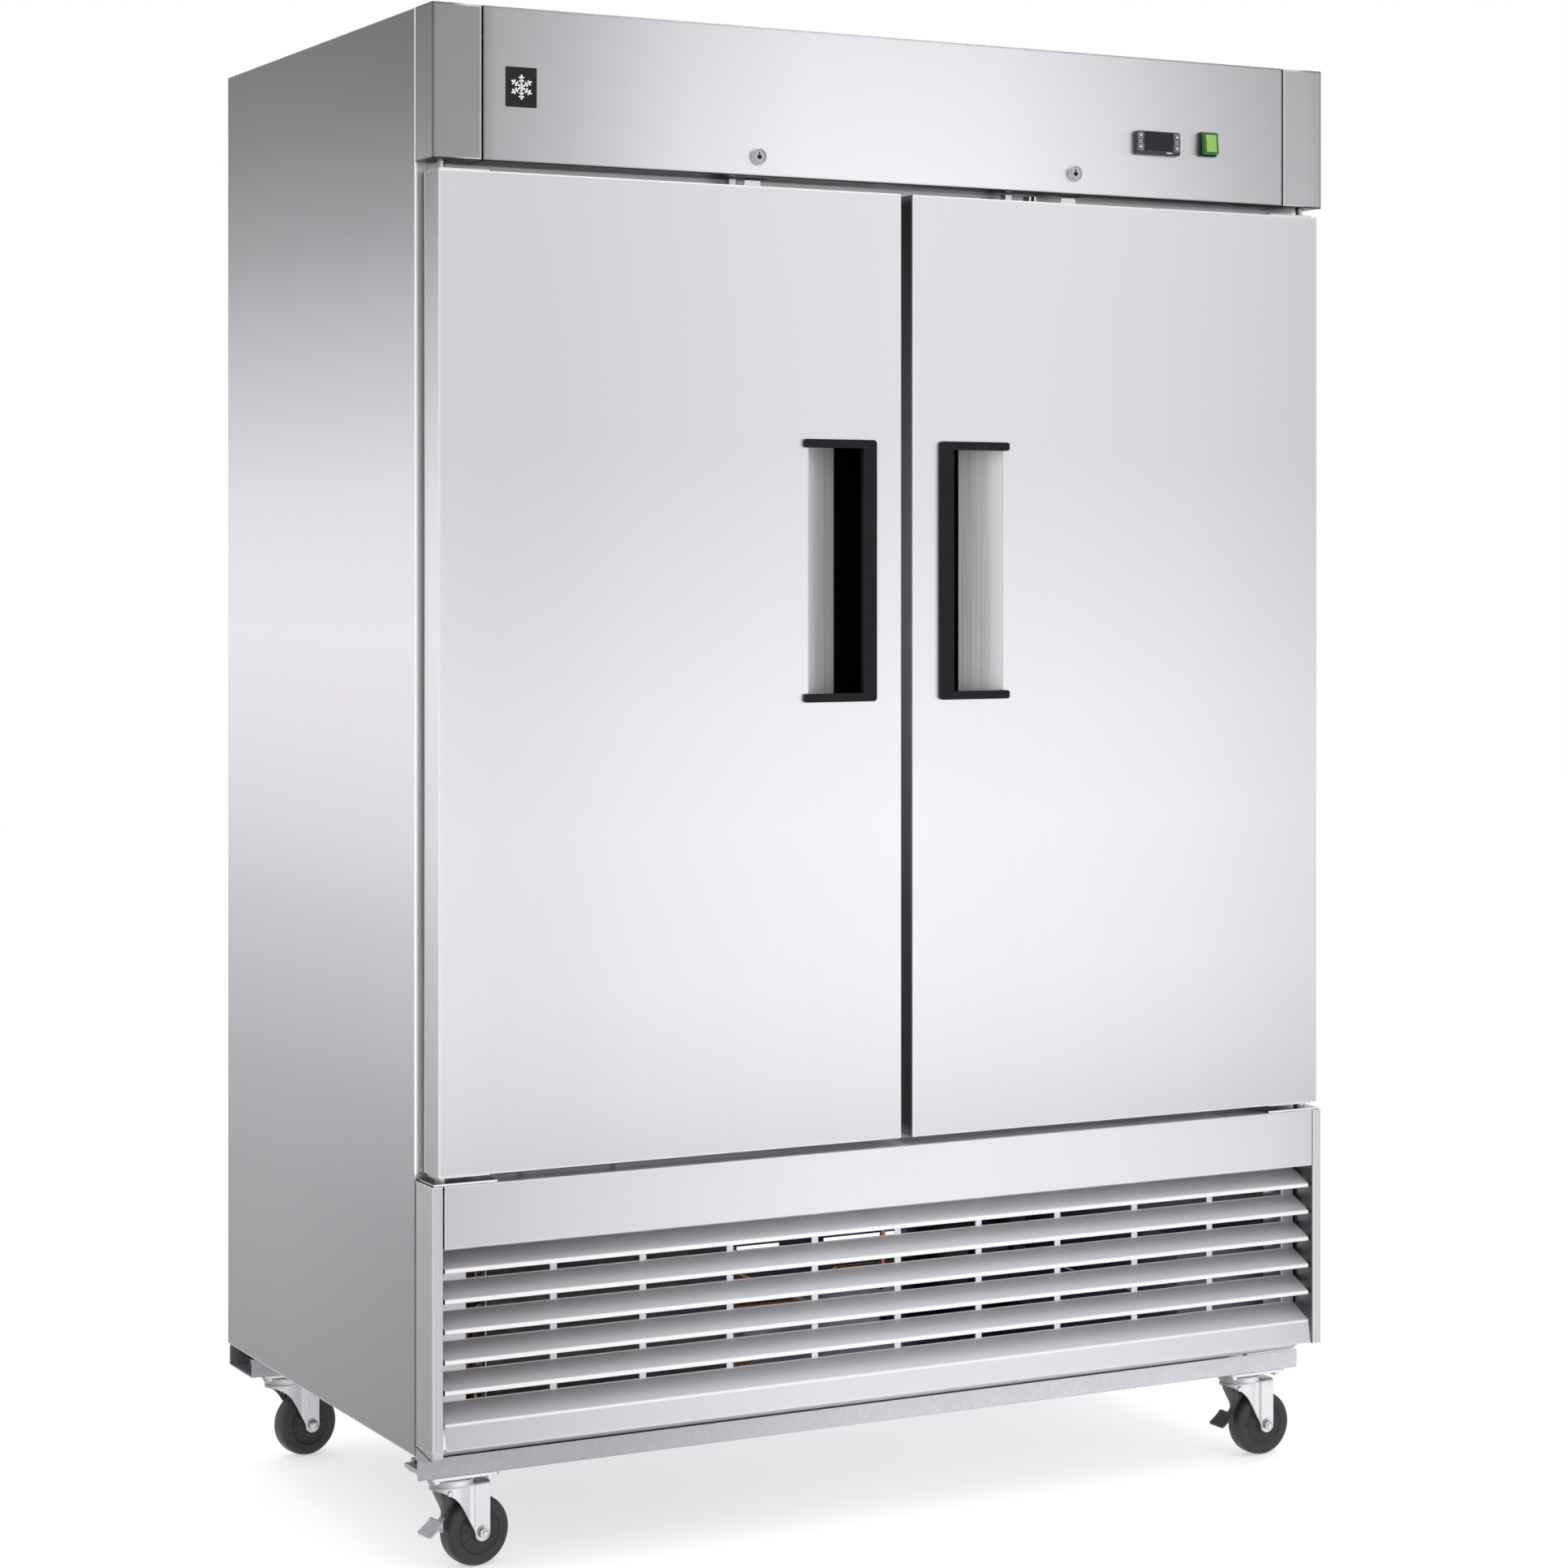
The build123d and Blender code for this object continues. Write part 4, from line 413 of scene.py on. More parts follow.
def foam_core():
    """Cut edge of the foam: pale yellow with small cells."""
    s = Shader("foam_core")
    base = s.mix(s.noise(60.0, 3.0, 0.6), rgb(0.80, 0.70, 0.46), rgb(0.88, 0.80, 0.60))
    return s.finish(base=base, rough=0.9, normal=s.bump(s.voronoi(900.0), 0.4, 0.0006))


def green_lens():
    """Moulded green plastic of the switch cap, faintly lit."""
    s = Shader("rocker_green")
    cloud = s.noise(240.0, 3.0, 0.6)
    base = s.mix(cloud, rgb(0.008, 0.075, 0.014), rgb(0.012, 0.115, 0.022))
    return s.finish(base=base, rough=0.15, coat=0.15, coat_rough=0.06, glow=rgb(0.01, 0.12, 0.02),
                    glow_strength=0.1, specular=0.25, normal=s.bump(cloud, 0.06, 0.0002, s.bevel(0.0008)))


AMBER_EDGE = (0.4790, 0.4805)  # the pane is amber left of here


def lit_pane():
    """Pebbled pane over the lamp: yellow-green, with amber on the left where the lamp housing shows."""
    s = Shader("lit_pane")
    pebbles = s.voronoi(1500.0, feature="SMOOTH_F1")
    cloud = s.noise(300.0, 3.0, 0.6)
    base = s.mix(s.spread(cloud, 0.3, 0.7), rgb(0.10, 0.26, 0.045), rgb(0.20, 0.38, 0.09))
    base = s.mix(s.spread(pebbles, 0.1, 0.6, 0.0, 0.5), base, rgb(0.30, 0.46, 0.14))
    amber = s.spread(s.axis("X"), *AMBER_EDGE, 1.0, 0.0)
    base = s.mix(amber, base, rgb(0.16, 0.085, 0.012))
    return s.finish(base=base, rough=0.2, coat=0.1, coat_rough=0.08, glow=base, glow_strength=0.12,
                    specular=0.25, normal=s.bump(pebbles, 0.25, 0.0004, s.bevel(0.0006)))


# The stainless sheets take painted reflection, highlight and shade from the tone curves above.
looks = {
    "stainless_door": steel("stainless_door", 0.878, DOOR_PAINTED_LIGHT_ALONG, DOOR_PAINTED_LIGHT_ACROSS, bend=0.003),
    "stainless_header": steel("stainless_header", 0.90, HEADER_PAINTED_LIGHT_ALONG, HEADER_PAINTED_LIGHT_ACROSS, bend=0.004,
                              edge_light=0.95, edge_light_tone=HEADER_EDGE_LIGHT, special=header_underside),
    "stainless_side": steel("stainless_side", 0.88, SIDE_PAINTED_LIGHT_ALONG, special=rolled_front, tint=VIOLET),
    "stainless_grille": steel("stainless_grille", 0.857, None, GRILLE_PAINTED_LIGHT_ACROSS, grain="X",
                              special=louvre_faces),
    "stainless_frame": steel("stainless_frame", 0.55, FRAME_PAINTED_LIGHT_ALONG, edge_light=0.3),
    "stainless_recess": scoop_steel(),
    "stainless_liner": steel("stainless_liner", 0.70, rough=0.36, edge_light=0.35),
    "galvanised": galvanised(),
    "zinc_plate": zinc(),
    "foam": foam_core(),
    "gasket_rubber": rubber("gasket_rubber", (0.10, 0.10, 0.105), 0.6, 0.15),
    "wheel_rubber": rubber("wheel_rubber", (0.022, 0.022, 0.024), 0.5, 0.3),
    "pedal_black": pedal_steel(),
    # The handle's deep well is black by painted shade.
    "handle_black": plastic("handle_black", (0.008, 0.008, 0.0105), specular=0.12,
                            painted_shade_from=DOOR_FACE + 0.004),
    "badge_black": plastic("badge_black", (0.007, 0.009, 0.010), 0.3, specular=0.2),
    "bezel_grey": plastic("bezel_grey", (0.036, 0.036, 0.041), 0.38, specular=0.2),
    "key_grey": plastic("key_grey", (0.10, 0.10, 0.11)),
    "switch_black": plastic("switch_black", (0.012, 0.020, 0.018), 0.35),
    "rocker_green": green_lens(),
    "lock_chrome": bare_metal("lock_chrome", (0.50, 0.50, 0.51), 0.2),
    "coil_aluminium": bare_metal("coil_aluminium", (0.70, 0.71, 0.72), 0.4),
    "fan_plastic": plastic("fan_plastic", (0.03, 0.03, 0.033), 0.5),
    "motor_metal": enamel("motor_metal", (0.14, 0.14, 0.15), 0.4, 0.5),
    "compressor_black": enamel("compressor_black", (0.012, 0.012, 0.014), 0.3),
    "copper": bare_metal("copper_pipe", (0.78, 0.36, 0.22), 0.28),
    "pan_aluminium": bare_metal("pan_aluminium", (0.74, 0.74, 0.76), 0.35),
    "box_grey": enamel("box_grey", (0.20, 0.21, 0.22), 0.45),
    "shelf_coating": enamel("shelf_coating", (0.72, 0.73, 0.74), 0.3),
}
foot_look = steel("stainless_foot", 0.857, None, GRILLE_PAINTED_LIGHT_ACROSS, grain="X", edge_light=0.0)
shadow_look = bare_metal("keyway_shadow", (0.05, 0.05, 0.055), 0.5)
pale_print = plastic("pale_print", (0.86, 0.87, 0.87), 0.5, edge_highlight=0.0)
key_print = plastic("key_print", (0.50, 0.51, 0.52), 0.5, edge_highlight=0.0)
window_look = plastic("smoked_window", (0.012, 0.012, 0.016), 0.2, grain=200.0, depth=0.02, specular=0.2)
lamp_look = lit_pane()
slot_of = {part["node"]: part["material_slot"] for part in frame["record"]["subparts"]}
for node_name, node_object in nodes.items():
    node_object.data.materials.clear()
    node_object.data.materials.append(looks[slot_of[node_name]])


# ------------------------------------------------------------------ mesh helpers
MM = 0.001
AXES = {"X": ((0, 1, 0), (0, 0, 1), (1, 0, 0)), "Y": ((0, 0, 1), (1, 0, 0), (0, 1, 0)),
        "Z": ((1, 0, 0), (0, 1, 0), (0, 0, 1))}  # two directions across each axis, and the axis


def ring_round(x, y, radius, corner_steps=6):
    """Outline of a rectangle centred on the origin, x by y, with round corners."""
    half_x, half_y = x / 2 - radius, y / 2 - radius
    points = []
    for quarter, (sx, sy) in enumerate(((1, 1), (-1, 1), (-1, -1), (1, -1))):
        for step in range(corner_steps + 1):
            angle = math.radians(90 * quarter + 90 * step / corner_steps)
            points.append((sx * half_x + radius * math.cos(angle), sy * half_y + radius * math.sin(angle)))
    return points


def ring_circle(radius, steps=48, turn=0.0):
    return [(radius * math.cos(turn + 2 * math.pi * step / steps),
             radius * math.sin(turn + 2 * math.pi * step / steps)) for step in range(steps)]


def moved(outline, u, v):
    return [(u + a, v + b) for a, b in outline]


def upright(outline, y):
    """Points of an outline in the X-Z plane at depth y."""
    return [(u, y, v) for u, v in outline]


class Solid:
    """A mesh in millimetres, made of closed shells that are added one by one."""

    def __init__(self):
        self.bm = bmesh.new()
        self.look_index = 0

    def face(self, verts):
        made = self.bm.faces.new(verts)
        made.material_index = self.look_index
        return made

    def strip(self, low, high):
        """Wall of quads between two closed rows of points."""
        for index in range(len(low)):
            after = (index + 1) % len(low)
            self.face((low[index], low[after], high[after], high[index]))

    def loft(self, rings, loop=False):
        """Skin a list of rings with the same number of points. loop joins the last to the first."""
        rows = [[self.bm.verts.new(point) for point in ring] for ring in rings]
        for low, high in zip(rows, rows[1:]):
            self.strip(low, high)
        if loop:
            self.strip(rows[-1], rows[0])
        else:
            self.face(list(reversed(rows[0])))
            self.face(rows[-1])

    def lathe(self, profile, origin=(0, 0, 0), axis="Z", steps=64, loop=False):
        """Turn a profile of (radius, height) round an axis through the origin point."""
        first, second, along = (Vector(direction) for direction in AXES[axis])
        rings = []
        for radius, height in profile:
            rings.append([Vector(origin) + first * u + second * v + along * height
                          for u, v in ring_circle(max(radius, 0.02), steps)])
        self.loft(rings, loop)

    def prism(self, outline, low, high, axis="Y", soft=0.0):
        """Pull an outline along an axis, with its end edges softened by a small chamfer."""
        place = {"X": lambda u, v, t: (t, u, v), "Y": lambda u, v, t: (u, t, v),
                 "Z": lambda u, v, t: (u, v, t)}[axis]
        centre_u = sum(u for u, _ in outline) / len(outline)
        centre_v = sum(v for _, v in outline) / len(outline)
        reach = max(math.hypot(u - centre_u, v - centre_v) for u, v in outline)
        ends = [(low, 0), (high, 0)]
        if soft:
            ends = [(low, soft), (low + 0.3 * soft, 0.3 * soft), (low + soft, 0),
                    (high - soft, 0), (high - 0.3 * soft, 0.3 * soft), (high, soft)]
        rings = []
        for height, inset in ends:
            shrink = 1 - inset / reach
            rings.append([place(centre_u + (u - centre_u) * shrink, centre_v + (v - centre_v) * shrink,
                                height) for u, v in outline])
        self.loft(rings)

    def box(self, low, high, soft=0.4):
        """Block between two corners, with its edges rounded in two steps."""
        corners = [self.bm.verts.new((x, y, z)) for x in (low[0], high[0]) for y in (low[1], high[1])
                   for z in (low[2], high[2])]
        quads = ((0, 1, 3, 2), (4, 6, 7, 5), (0, 4, 5, 1), (2, 3, 7, 6), (0, 2, 6, 4), (1, 5, 7, 3))
        faces = [self.face([corners[index] for index in quad]) for quad in quads]
        if soft:
            edges = list({edge for made in faces for edge in made.edges})
            bmesh.ops.bevel(self.bm, geom=edges, offset=soft, segments=2, profile=0.6, affect="EDGES",
                            material=self.look_index)

    def tube(self, points, radius, steps=10, loop=False):
        """Round bar along a chain of points, mitred at each of them."""
        points = [Vector(point) for point in points]
        count = len(points)
        rings = []
        side = None
        for index, point in enumerate(points):
            before = points[index - 1] if loop or index else point
            after = points[(index + 1) % count] if loop or index < count - 1 else point
            to_here, from_here = point - before, after - point
            to_here = (to_here if to_here.length else from_here).normalized()
            from_here = from_here.normalized() if from_here.length else to_here
            along = (to_here + from_here).normalized()
            if side is None:
                side = along.orthogonal().normalized()
            side = (side - along * side.dot(along)).normalized()
            other = along.cross(side)
            rings.append([point + side * u + other * v for u, v in ring_circle(radius, steps)])
        self.loft(rings, loop)

    def hexagon(self, origin, axis, across_flats, low, high):
        """Bolt head or nut: six flats with turned corners."""
        flat, corner = across_flats * 0.50, across_flats * 0.577
        self.lathe([(0, low), (flat, low), (corner, low + 0.5), (corner, high - 0.9), (flat, high),
                    (0, high)], origin, axis, 6)

    def absorb(self, other, matrix=None):
        """Take over another solid's shells, moved by a matrix."""
        bmesh.ops.transform(other.bm, matrix=matrix or Matrix(), verts=other.bm.verts)
        mesh = bpy.data.meshes.new("part")
        other.bm.to_mesh(mesh)
        other.bm.free()
        self.bm.from_mesh(mesh)
        bpy.data.meshes.remove(mesh)

    def piece(self, name, body, slot, replaces=(), looks_used=None, matrix=None, sharp=32.0):
        """Finish the mesh as an object that rides on a body. Its look is the slot's, if none is given."""
        bm = self.bm
        bmesh.ops.remove_doubles(bm, verts=bm.verts, dist=0.0005)
        bmesh.ops.recalc_face_normals(bm, faces=bm.faces)
        for edge in bm.edges:
            edge.smooth = len(edge.link_faces) == 2 and edge.calc_face_angle(0.0) < math.radians(sharp)
        for made in bm.faces:
            made.smooth = True
        bmesh.ops.transform(bm, matrix=matrix or Matrix(), verts=bm.verts)
        bmesh.ops.scale(bm, vec=(MM, MM, MM), verts=bm.verts)
        mesh = bpy.data.meshes.new(name)
        bm.to_mesh(mesh)
        bm.free()
        for look in looks_used or [looks[slot]]:
            mesh.materials.append(look)
        made = bpy.data.objects.new(name, mesh)
        scene.collection.objects.link(made)
        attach(made, body)
        if replaces:
            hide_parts(*replaces)


def node_mm(node):
    """Lowest and highest corner of a node at rest, in millimetres."""
    low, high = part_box(node)
    return [value / MM for value in low], [value / MM for value in high]


def middle_mm(node):
    """Middle of a node across and up, in millimetres."""
    low, high = node_mm(node)
    return (low[0] + high[0]) / 2, (low[2] + high[2]) / 2


# ------------------------------------------------------------------ casters
TRAIL = 34.0  # from the swivel axis to the axle
WHEEL_RADIUS = 46.0
AXLE = (TRAIL, 0, WHEEL_RADIUS)
FORK_TOP = 113.0
FORK_SHEET = 2.5
FORK_CORNER = 5.0  # outer radius between the fork's wall and its top
LEG_HALF = 22.5
LEG_END = 11.0
LEG_START = 24.0  # the legs are straight from here on, along the trail
SKIRT_CENTRE, SKIRT_REACH = -4.0, 27.0  # oval front of the fork's wall
PEDAL_PIVOT = (-14.0, 103.0)
CASTER_HEADINGS = {"front_left": 8.0, "front_right": 1.0, "rear_left": 10.0, "rear_right": 4.0}
FORK_LOWER_EDGE = [(-31.0, 106.0), (-24.0, 104.6), (-16.0, 101.4), (-8.0, 96.2), (0.0, 88.8), (6.0, 80.6),
                   (12.0, 70.6), (17.0, 61.2), (20.5, 53.6), (22.3, 49.0), (23.0, 46.0)]
FORK_WIDTH = [(-4.0, LEG_HALF), (4.0, 22.3), (10.0, 21.4), (16.0, 20.3), (19.5, 20.3), (22.0, 21.3),
              (24.0, LEG_HALF)]


def caster_place(name):
    """Matrix from a caster's own frame, swivel axis on Z and wheel along +X, to the cabinet's frame."""
    low, high = node_mm("caster_wheel_" + name)
    heading = math.radians(CASTER_HEADINGS[name])
    x = (low[0] + high[0]) / 2 - TRAIL * math.cos(heading)
    y = (low[1] + high[1]) / 2 - TRAIL * math.sin(heading)
    return Matrix.Translation((x, y, 0)) @ Matrix.Rotation(heading, 4, "Z")


def wheel(name):
    """Moulded wheel: crowned tread, round shoulders, ringed side walls with short ribs, and a bored hub."""
    solid = Solid()
    half = [(6.1, 17.4), (10.5, 17.4), (12.6, 16.6), (13.4, 13.4), (15.0, 12.2), (20.0, 11.7), (26.0, 11.8),
            (28.4, 12.6), (29.6, 13.6), (30.2, 14.6), (31.2, 15.0), (33.2, 15.0), (34.0, 14.5), (34.9, 14.5),
            (35.8, 15.0), (39.0, 14.9), (41.6, 14.3), (43.6, 12.8), (44.9, 10.6), (45.6, 7.4), (45.9, 3.6)]
    profile = half + [(WHEEL_RADIUS, 0.5), (WHEEL_RADIUS, -0.5)] + [(r, -w) for r, w in reversed(half)]
    solid.lathe(profile, AXLE, "Y", 96, loop=True)
    for side in (-1, 1):
        for step in range(12):
            angle = math.radians(30 * step)
            solid.tube([(TRAIL + reach * math.cos(angle), side * 11.5, WHEEL_RADIUS + reach * math.sin(angle))
                        for reach in (16.2, 25.0)], 0.9, 8)
    solid.piece("wheel_" + name, f"wheel_{name}", "wheel_rubber", ["caster_wheel_" + name],
                matrix=caster_place(name), sharp=40)


def between(stops, value):
    """Value of a straight-line curve through (position, value) stops."""
    for (a, low), (b, high) in zip(stops, stops[1:]):
        if value <= b:
            return low + (high - low) * max(0.0, (value - a) / (b - a))
    return stops[-1][1]


def fork_plan():
    """Points of the fork's outer wall seen from above, from one leg round the front to the other."""
    leg = [45.0, 44.7, 43.8, 42.2, 40.0, 37.0, 34.0, 31.0, 28.0, 25.8, 24.2, 23.3, 23.0, 22.3, 20.5, 18.0,
           15.0, 12.0, 9.0, 6.0, 3.0, -0.5, -4.0]
    side = [(x, between(FORK_WIDTH, x)) for x in leg]
    front = []
    for step in range(1, 24):
        angle = math.radians(90 + 180 * step / 24)
        front.append((SKIRT_CENTRE + SKIRT_REACH * math.cos(angle), LEG_HALF * math.sin(angle)))
    return side + front + [(x, -y) for x, y in reversed(side)]


def fork_low(x):
    """Height of the fork's lower edge: a round leg end, then a slanting edge up to the front."""
    if x >= FORK_LOWER_EDGE[-1][0]:
        reach = min(LEG_END, abs(x - TRAIL))
        return WHEEL_RADIUS - math.sqrt(max(0.0, LEG_END ** 2 - reach * reach))
    return between(FORK_LOWER_EDGE, x)


def fork_skin(solid, plan, inset):
    """One skin of the stamped fork, as columns of points from the lower edge to the top plate."""
    columns = []
    for index, (x, y) in enumerate(plan):
        along = (Vector(plan[min(len(plan) - 1, index + 1)]) - Vector(plan[max(0, index - 1)])).normalized()
        inward = Vector((along.y, -along.x))
        if inward.dot(Vector((-SKIRT_CENTRE, 0.0)) - Vector((x, y))) < 0 and x < LEG_START:
            inward = -inward
        if x >= LEG_START:
            inward = Vector((0, -1 if y > 0 else 1))
        low, top = fork_low(x), FORK_TOP - FORK_CORNER
        steps = [(inset, low + (top - low) * step / 6) for step in range(7)]
        for step in range(1, 5):
            angle = math.radians(90 * step / 4)
            steps.append((inset + (FORK_CORNER - inset) * (1 - math.cos(angle)),
                          top + (FORK_CORNER - inset) * math.sin(angle)))
        columns.append([solid.bm.verts.new((x + inward.x * shift, y + inward.y * shift, z))
                        for shift, z in steps])
    return columns


def fork_shell(solid):
    """Stamped sheet of the fork, with an outer and an inner skin."""
    plan = fork_plan()
    skins = [fork_skin(solid, plan, inset) for inset in (0.0, FORK_SHEET)]
    for skin in skins:
        for left, right in zip(skin, skin[1:]):
            for row in range(len(left) - 1):
                solid.face((left[row], right[row], right[row + 1], left[row + 1]))
        solid.face([column[-1] for column in skin])
    outer, inner = skins
    for left, right in zip(range(len(plan) - 1), range(1, len(plan))):
        solid.face((outer[left][0], outer[right][0], inner[right][0], inner[left][0]))
    for end in (0, -1):
        a, b = outer[end], inner[end]
        for row in range(len(a) - 1):
            solid.face((a[row], a[row + 1], b[row + 1], b[row]))
    solid.face([outer[0][-1], outer[-1][-1], inner[-1][-1], inner[0][-1]])


def fork(name):
    """Stamped swivel fork with its ball race, kingpin, axle bolt, nut and domed head."""
    solid = Solid()
    fork_shell(solid)
    solid.lathe([(0, 112.0), (30.6, 112.0), (31.0, 112.8), (31.0, 114.0), (30.2, 114.9), (27.6, 115.2),
                 (26.4, 115.7), (24.6, 116.2), (0, 116.2)], steps=72)
    solid.lathe([(30.5, 114.0), (31.2, 114.0), (31.3, 117.2), (31.2, 120.0), (30.9, 120.7), (30.5, 120.7)],
                steps=72, loop=True)
    solid.lathe([(0, 100), (6, 100), (6, 130), (0, 130)], steps=32)
    solid.hexagon((0, 0, 0), "Z", 15.0, 102.5, 110.4)
    nut_side = -1 if name.startswith("front") else 1
    for side in (-1, 1):
        face = side * LEG_HALF
        base = face + side * 1.2
        washer = sorted((face, base))
        solid.lathe([(6, washer[0]), (9.4, washer[0]), (9.6, washer[0] + 0.3), (9.6, washer[1] - 0.2),
                     (9.3, washer[1]), (6, washer[1])], AXLE, "Y", 40, loop=True)
        if side == nut_side:
            solid.hexagon(AXLE, "Y", 13.0, *sorted((base, base + side * 4.6)))
            tip = sorted((base, base + side * 6.2))
            solid.lathe([(0, tip[0]), (3.2, tip[0]), (3.9, tip[0] + 0.6), (3.9, tip[1] - 0.6), (3.3, tip[1]),
                         (0, tip[1])], AXLE, "Y", 28)
        else:
            dome = [(8.0, 0.0), (8.0, 1.0), (7.4, 2.5), (6.0, 3.7), (4.0, 4.5), (2.0, 4.9), (0, 5.0)]
            solid.lathe([(0, base)] + [(r, base + side * h) for r, h in dome], AXLE, "Y", 48)
    solid.lathe([(0, -LEG_HALF), (6.0, -LEG_HALF), (6.0, LEG_HALF), (0, LEG_HALF)], AXLE, "Y", 32)
    if name.startswith("front"):
        pivot = (PEDAL_PIVOT[0], 0, PEDAL_PIVOT[1])
        for side in (-1, 1):
            head = sorted((side * 20.0, side * 22.8))
            solid.lathe([(0, head[0]), (3.0, head[0]), (3.8, head[0] + 0.8), (3.8, head[1] - 0.8),
                         (2.6, head[1]), (0, head[1])], pivot, "Y", 24)
        solid.lathe([(0, -20.5), (2.9, -20.5), (2.9, 20.5), (0, 20.5)], pivot, "Y", 20)
    solid.piece("fork_" + name, f"swivel_{name}", "zinc_plate", ["caster_fork_" + name],
                matrix=caster_place(name), sharp=34)


EYE_RADIUS = 5.4
# Pedal lever: (front face, back face, half width, height).
PEDAL_LEVER = [(-23.0, -18.0, 11.5, 104.5), (-21.0, -9.0, 12.0, 98.0), (-17.6, 1.0, 10.5, 90.0),
               (-14.6, -3.5, 7.5, 82.0), (-12.8, -7.5, 5.5, 75.0), (-13.6, -11.2, 5.0, 69.5),
               (-18.6, -16.2, 6.0, 63.0), (-20.8, -18.4, 9.0, 58.0)]
PAD_PLACE = (-31.2, 0.0, 57.2)
PAD_SLOPE = 39.0
PAD_SHORTER = 0.80
PAD_HALF = 17.0
PAD_SECTION = [(-17.0, -1.2), (-16.4, 0.6), (-15.2, 1.2), (-12.5, 0.6), (-4.0, 0.2), (6.0, 0.2), (14.0, 0.8),
               (17.0, 1.7), (17.0, -0.4), (13.5, -1.4), (5.0, -1.9), (-5.0, -1.9), (-13.0, -1.6),
               (-15.6, -2.0)]
PAD_ENDS = [(0.0, 0.86), (0.9, 0.93), (3.4, 1.0)]  # from the pad's end, and its size there


def pedal(name):
    """Brake pedal: two ears on the pivot, a lever that hugs the tread, and a ribbed foot pad."""
    solid = Solid()
    for low, high in ((-14.4, -12.0), (12.0, 14.4)):
        solid.prism(moved(ring_circle(EYE_RADIUS, 24), *PEDAL_PIVOT), low, high, "Y", 0.5)
    solid.box((-19.0, -14.0, 97.4), (-10.0, 14.0, 99.4), 0.5)
    lever = []
    for front, back, half_width, z in PEDAL_LEVER:
        corners = ring_round(back - front, 2 * half_width, 0.9, 3)
        lever.append([((front + back) / 2 + u, v, z) for u, v in corners])
    solid.loft(lever)
    solid.box((-21.4, -12.0, 52.0), (-19.0, 12.0, 64.0), 0.8)
    pad = Solid()
    ends = [(inset - PAD_HALF, size) for inset, size in PAD_ENDS]
    ends += [(-y, size) for y, size in reversed(ends)]
    pad.loft([[(u * size * PAD_SHORTER, y, v * size) for u, v in PAD_SECTION] for y, size in ends])
    for bar in range(4):
        centre = -8.6 + 5.2 * bar
        pad.box((centre - 1.1, 4.5 - PAD_HALF, 0.0), (centre + 1.1, PAD_HALF - 4.5, 1.5), 0.5)
    solid.absorb(pad, Matrix.Translation(PAD_PLACE) @ Matrix.Rotation(math.radians(-PAD_SLOPE), 4, "Y"))
    solid.piece("pedal_" + name, f"pedal_{name}", "pedal_black", ["brake_pedal_" + name],
                matrix=caster_place(name), sharp=34)


# ------------------------------------------------------------------ rails and the left post's foot
RAIL_SHEET = 2.0
RAIL_DEPTH = 100.0
RAIL_BEND = 3.0
FLANGE_SLANT, FLANGE_CUT, BACK_WALL_CUT = 0.52, 18.0, 52.0  # how far the front rail's ends are cut back
STILE_SHEET = 1.2
STILE_WIDTH = 15.0
FOOT_DROP = 7.6  # how far the foot reaches below its post
FOOT_TOE = 6.0
FOOT_GAP = 2.4


def rail_line(front, low_z, high_z, inset):
    """One skin of a rail's section as (y, z): front wall, flange and back wall, with rounded bends."""
    back = front + RAIL_DEPTH
    wall_low, bend_z = low_z + RAIL_BEND + 6.0, low_z + RAIL_BEND
    bends = []
    for centre_y, first in ((front + RAIL_BEND, 180), (back - RAIL_BEND, 270)):
        radius = RAIL_BEND - inset
        angles = [math.radians(first + 90 * step / 4) for step in range(5)]
        bends.append([(centre_y + radius * math.cos(angle), bend_z + radius * math.sin(angle))
                      for angle in angles])
    return ([(front + inset, high_z), (front + inset, wall_low)] + bends[0]
            + [(front + 35.0, low_z + inset), (front + 90.0, low_z + inset)] + bends[1]
            + [(back - inset, wall_low), (back - inset, high_z)])


def rails():
    """Front and rear galvanised channels. The front one has its flange ends cut back on a slant."""
    low, high = node_mm("base_rails")
    solid = Solid()
    for front, slanted in ((low[1], True), (high[1] - RAIL_DEPTH, False)):
        outer, inner = (rail_line(front, low[2], high[2], inset) for inset in (0.0, RAIL_SHEET))
        rings = []
        for (y, z), (inner_y, inner_z) in zip(outer, inner):
            cut = 0.0
            if slanted:
                on_flange = y < front + RAIL_DEPTH - 8.0
                cut = min(FLANGE_CUT, FLANGE_SLANT * (y - front)) if on_flange else BACK_WALL_CUT
            left, right = low[0] + cut, high[0] - cut
            rings.append([(left, y, z), (right, y, z), (right, inner_y, inner_z), (left, inner_y, inner_z)])
        solid.loft(rings)
    solid.piece("rails", "cabinet", "galvanised", ["base_rails"], sharp=40)


def stile_foot():
    """Foot of the left grille post: its two walls run down to the rail over a slanted corner joint."""
    low, high = node_mm("grille_stiles")
    rail_top = node_mm("base_rails")[1][2]
    left, front, back, top = low[0], low[1], high[1] - 0.6, low[2] + 0.1
    slant_high, slant_low, toe = top - 0.5, low[2] - FOOT_DROP, front + FOOT_TOE
    wall = (left, left + STILE_SHEET)
    solid = Solid()
    upper = [(front, top), (back, top), (back, slant_high), (toe, slant_low), (front, slant_low)]
    lower = [(back, slant_high - FOOT_GAP), (toe, slant_low - FOOT_GAP), (back, rail_top + 0.5)]
    joint = [(back, slant_high), (toe, slant_low), lower[1], lower[0]]
    solid.prism(upper, *wall, "X")
    solid.prism(lower, *wall, "X")
    solid.box((wall[1], front, slant_low), (left + STILE_WIDTH, front + STILE_SHEET, top), 0)
    solid.look_index = 1
    solid.prism(joint, left + 0.1, wall[1], "X")
    solid.piece("stile_foot", "cabinet", "stainless_grille", looks_used=[foot_look, shadow_look], sharp=40)


# ------------------------------------------------------------------ header fittings
FRONT = -391.0  # plane of the header's face


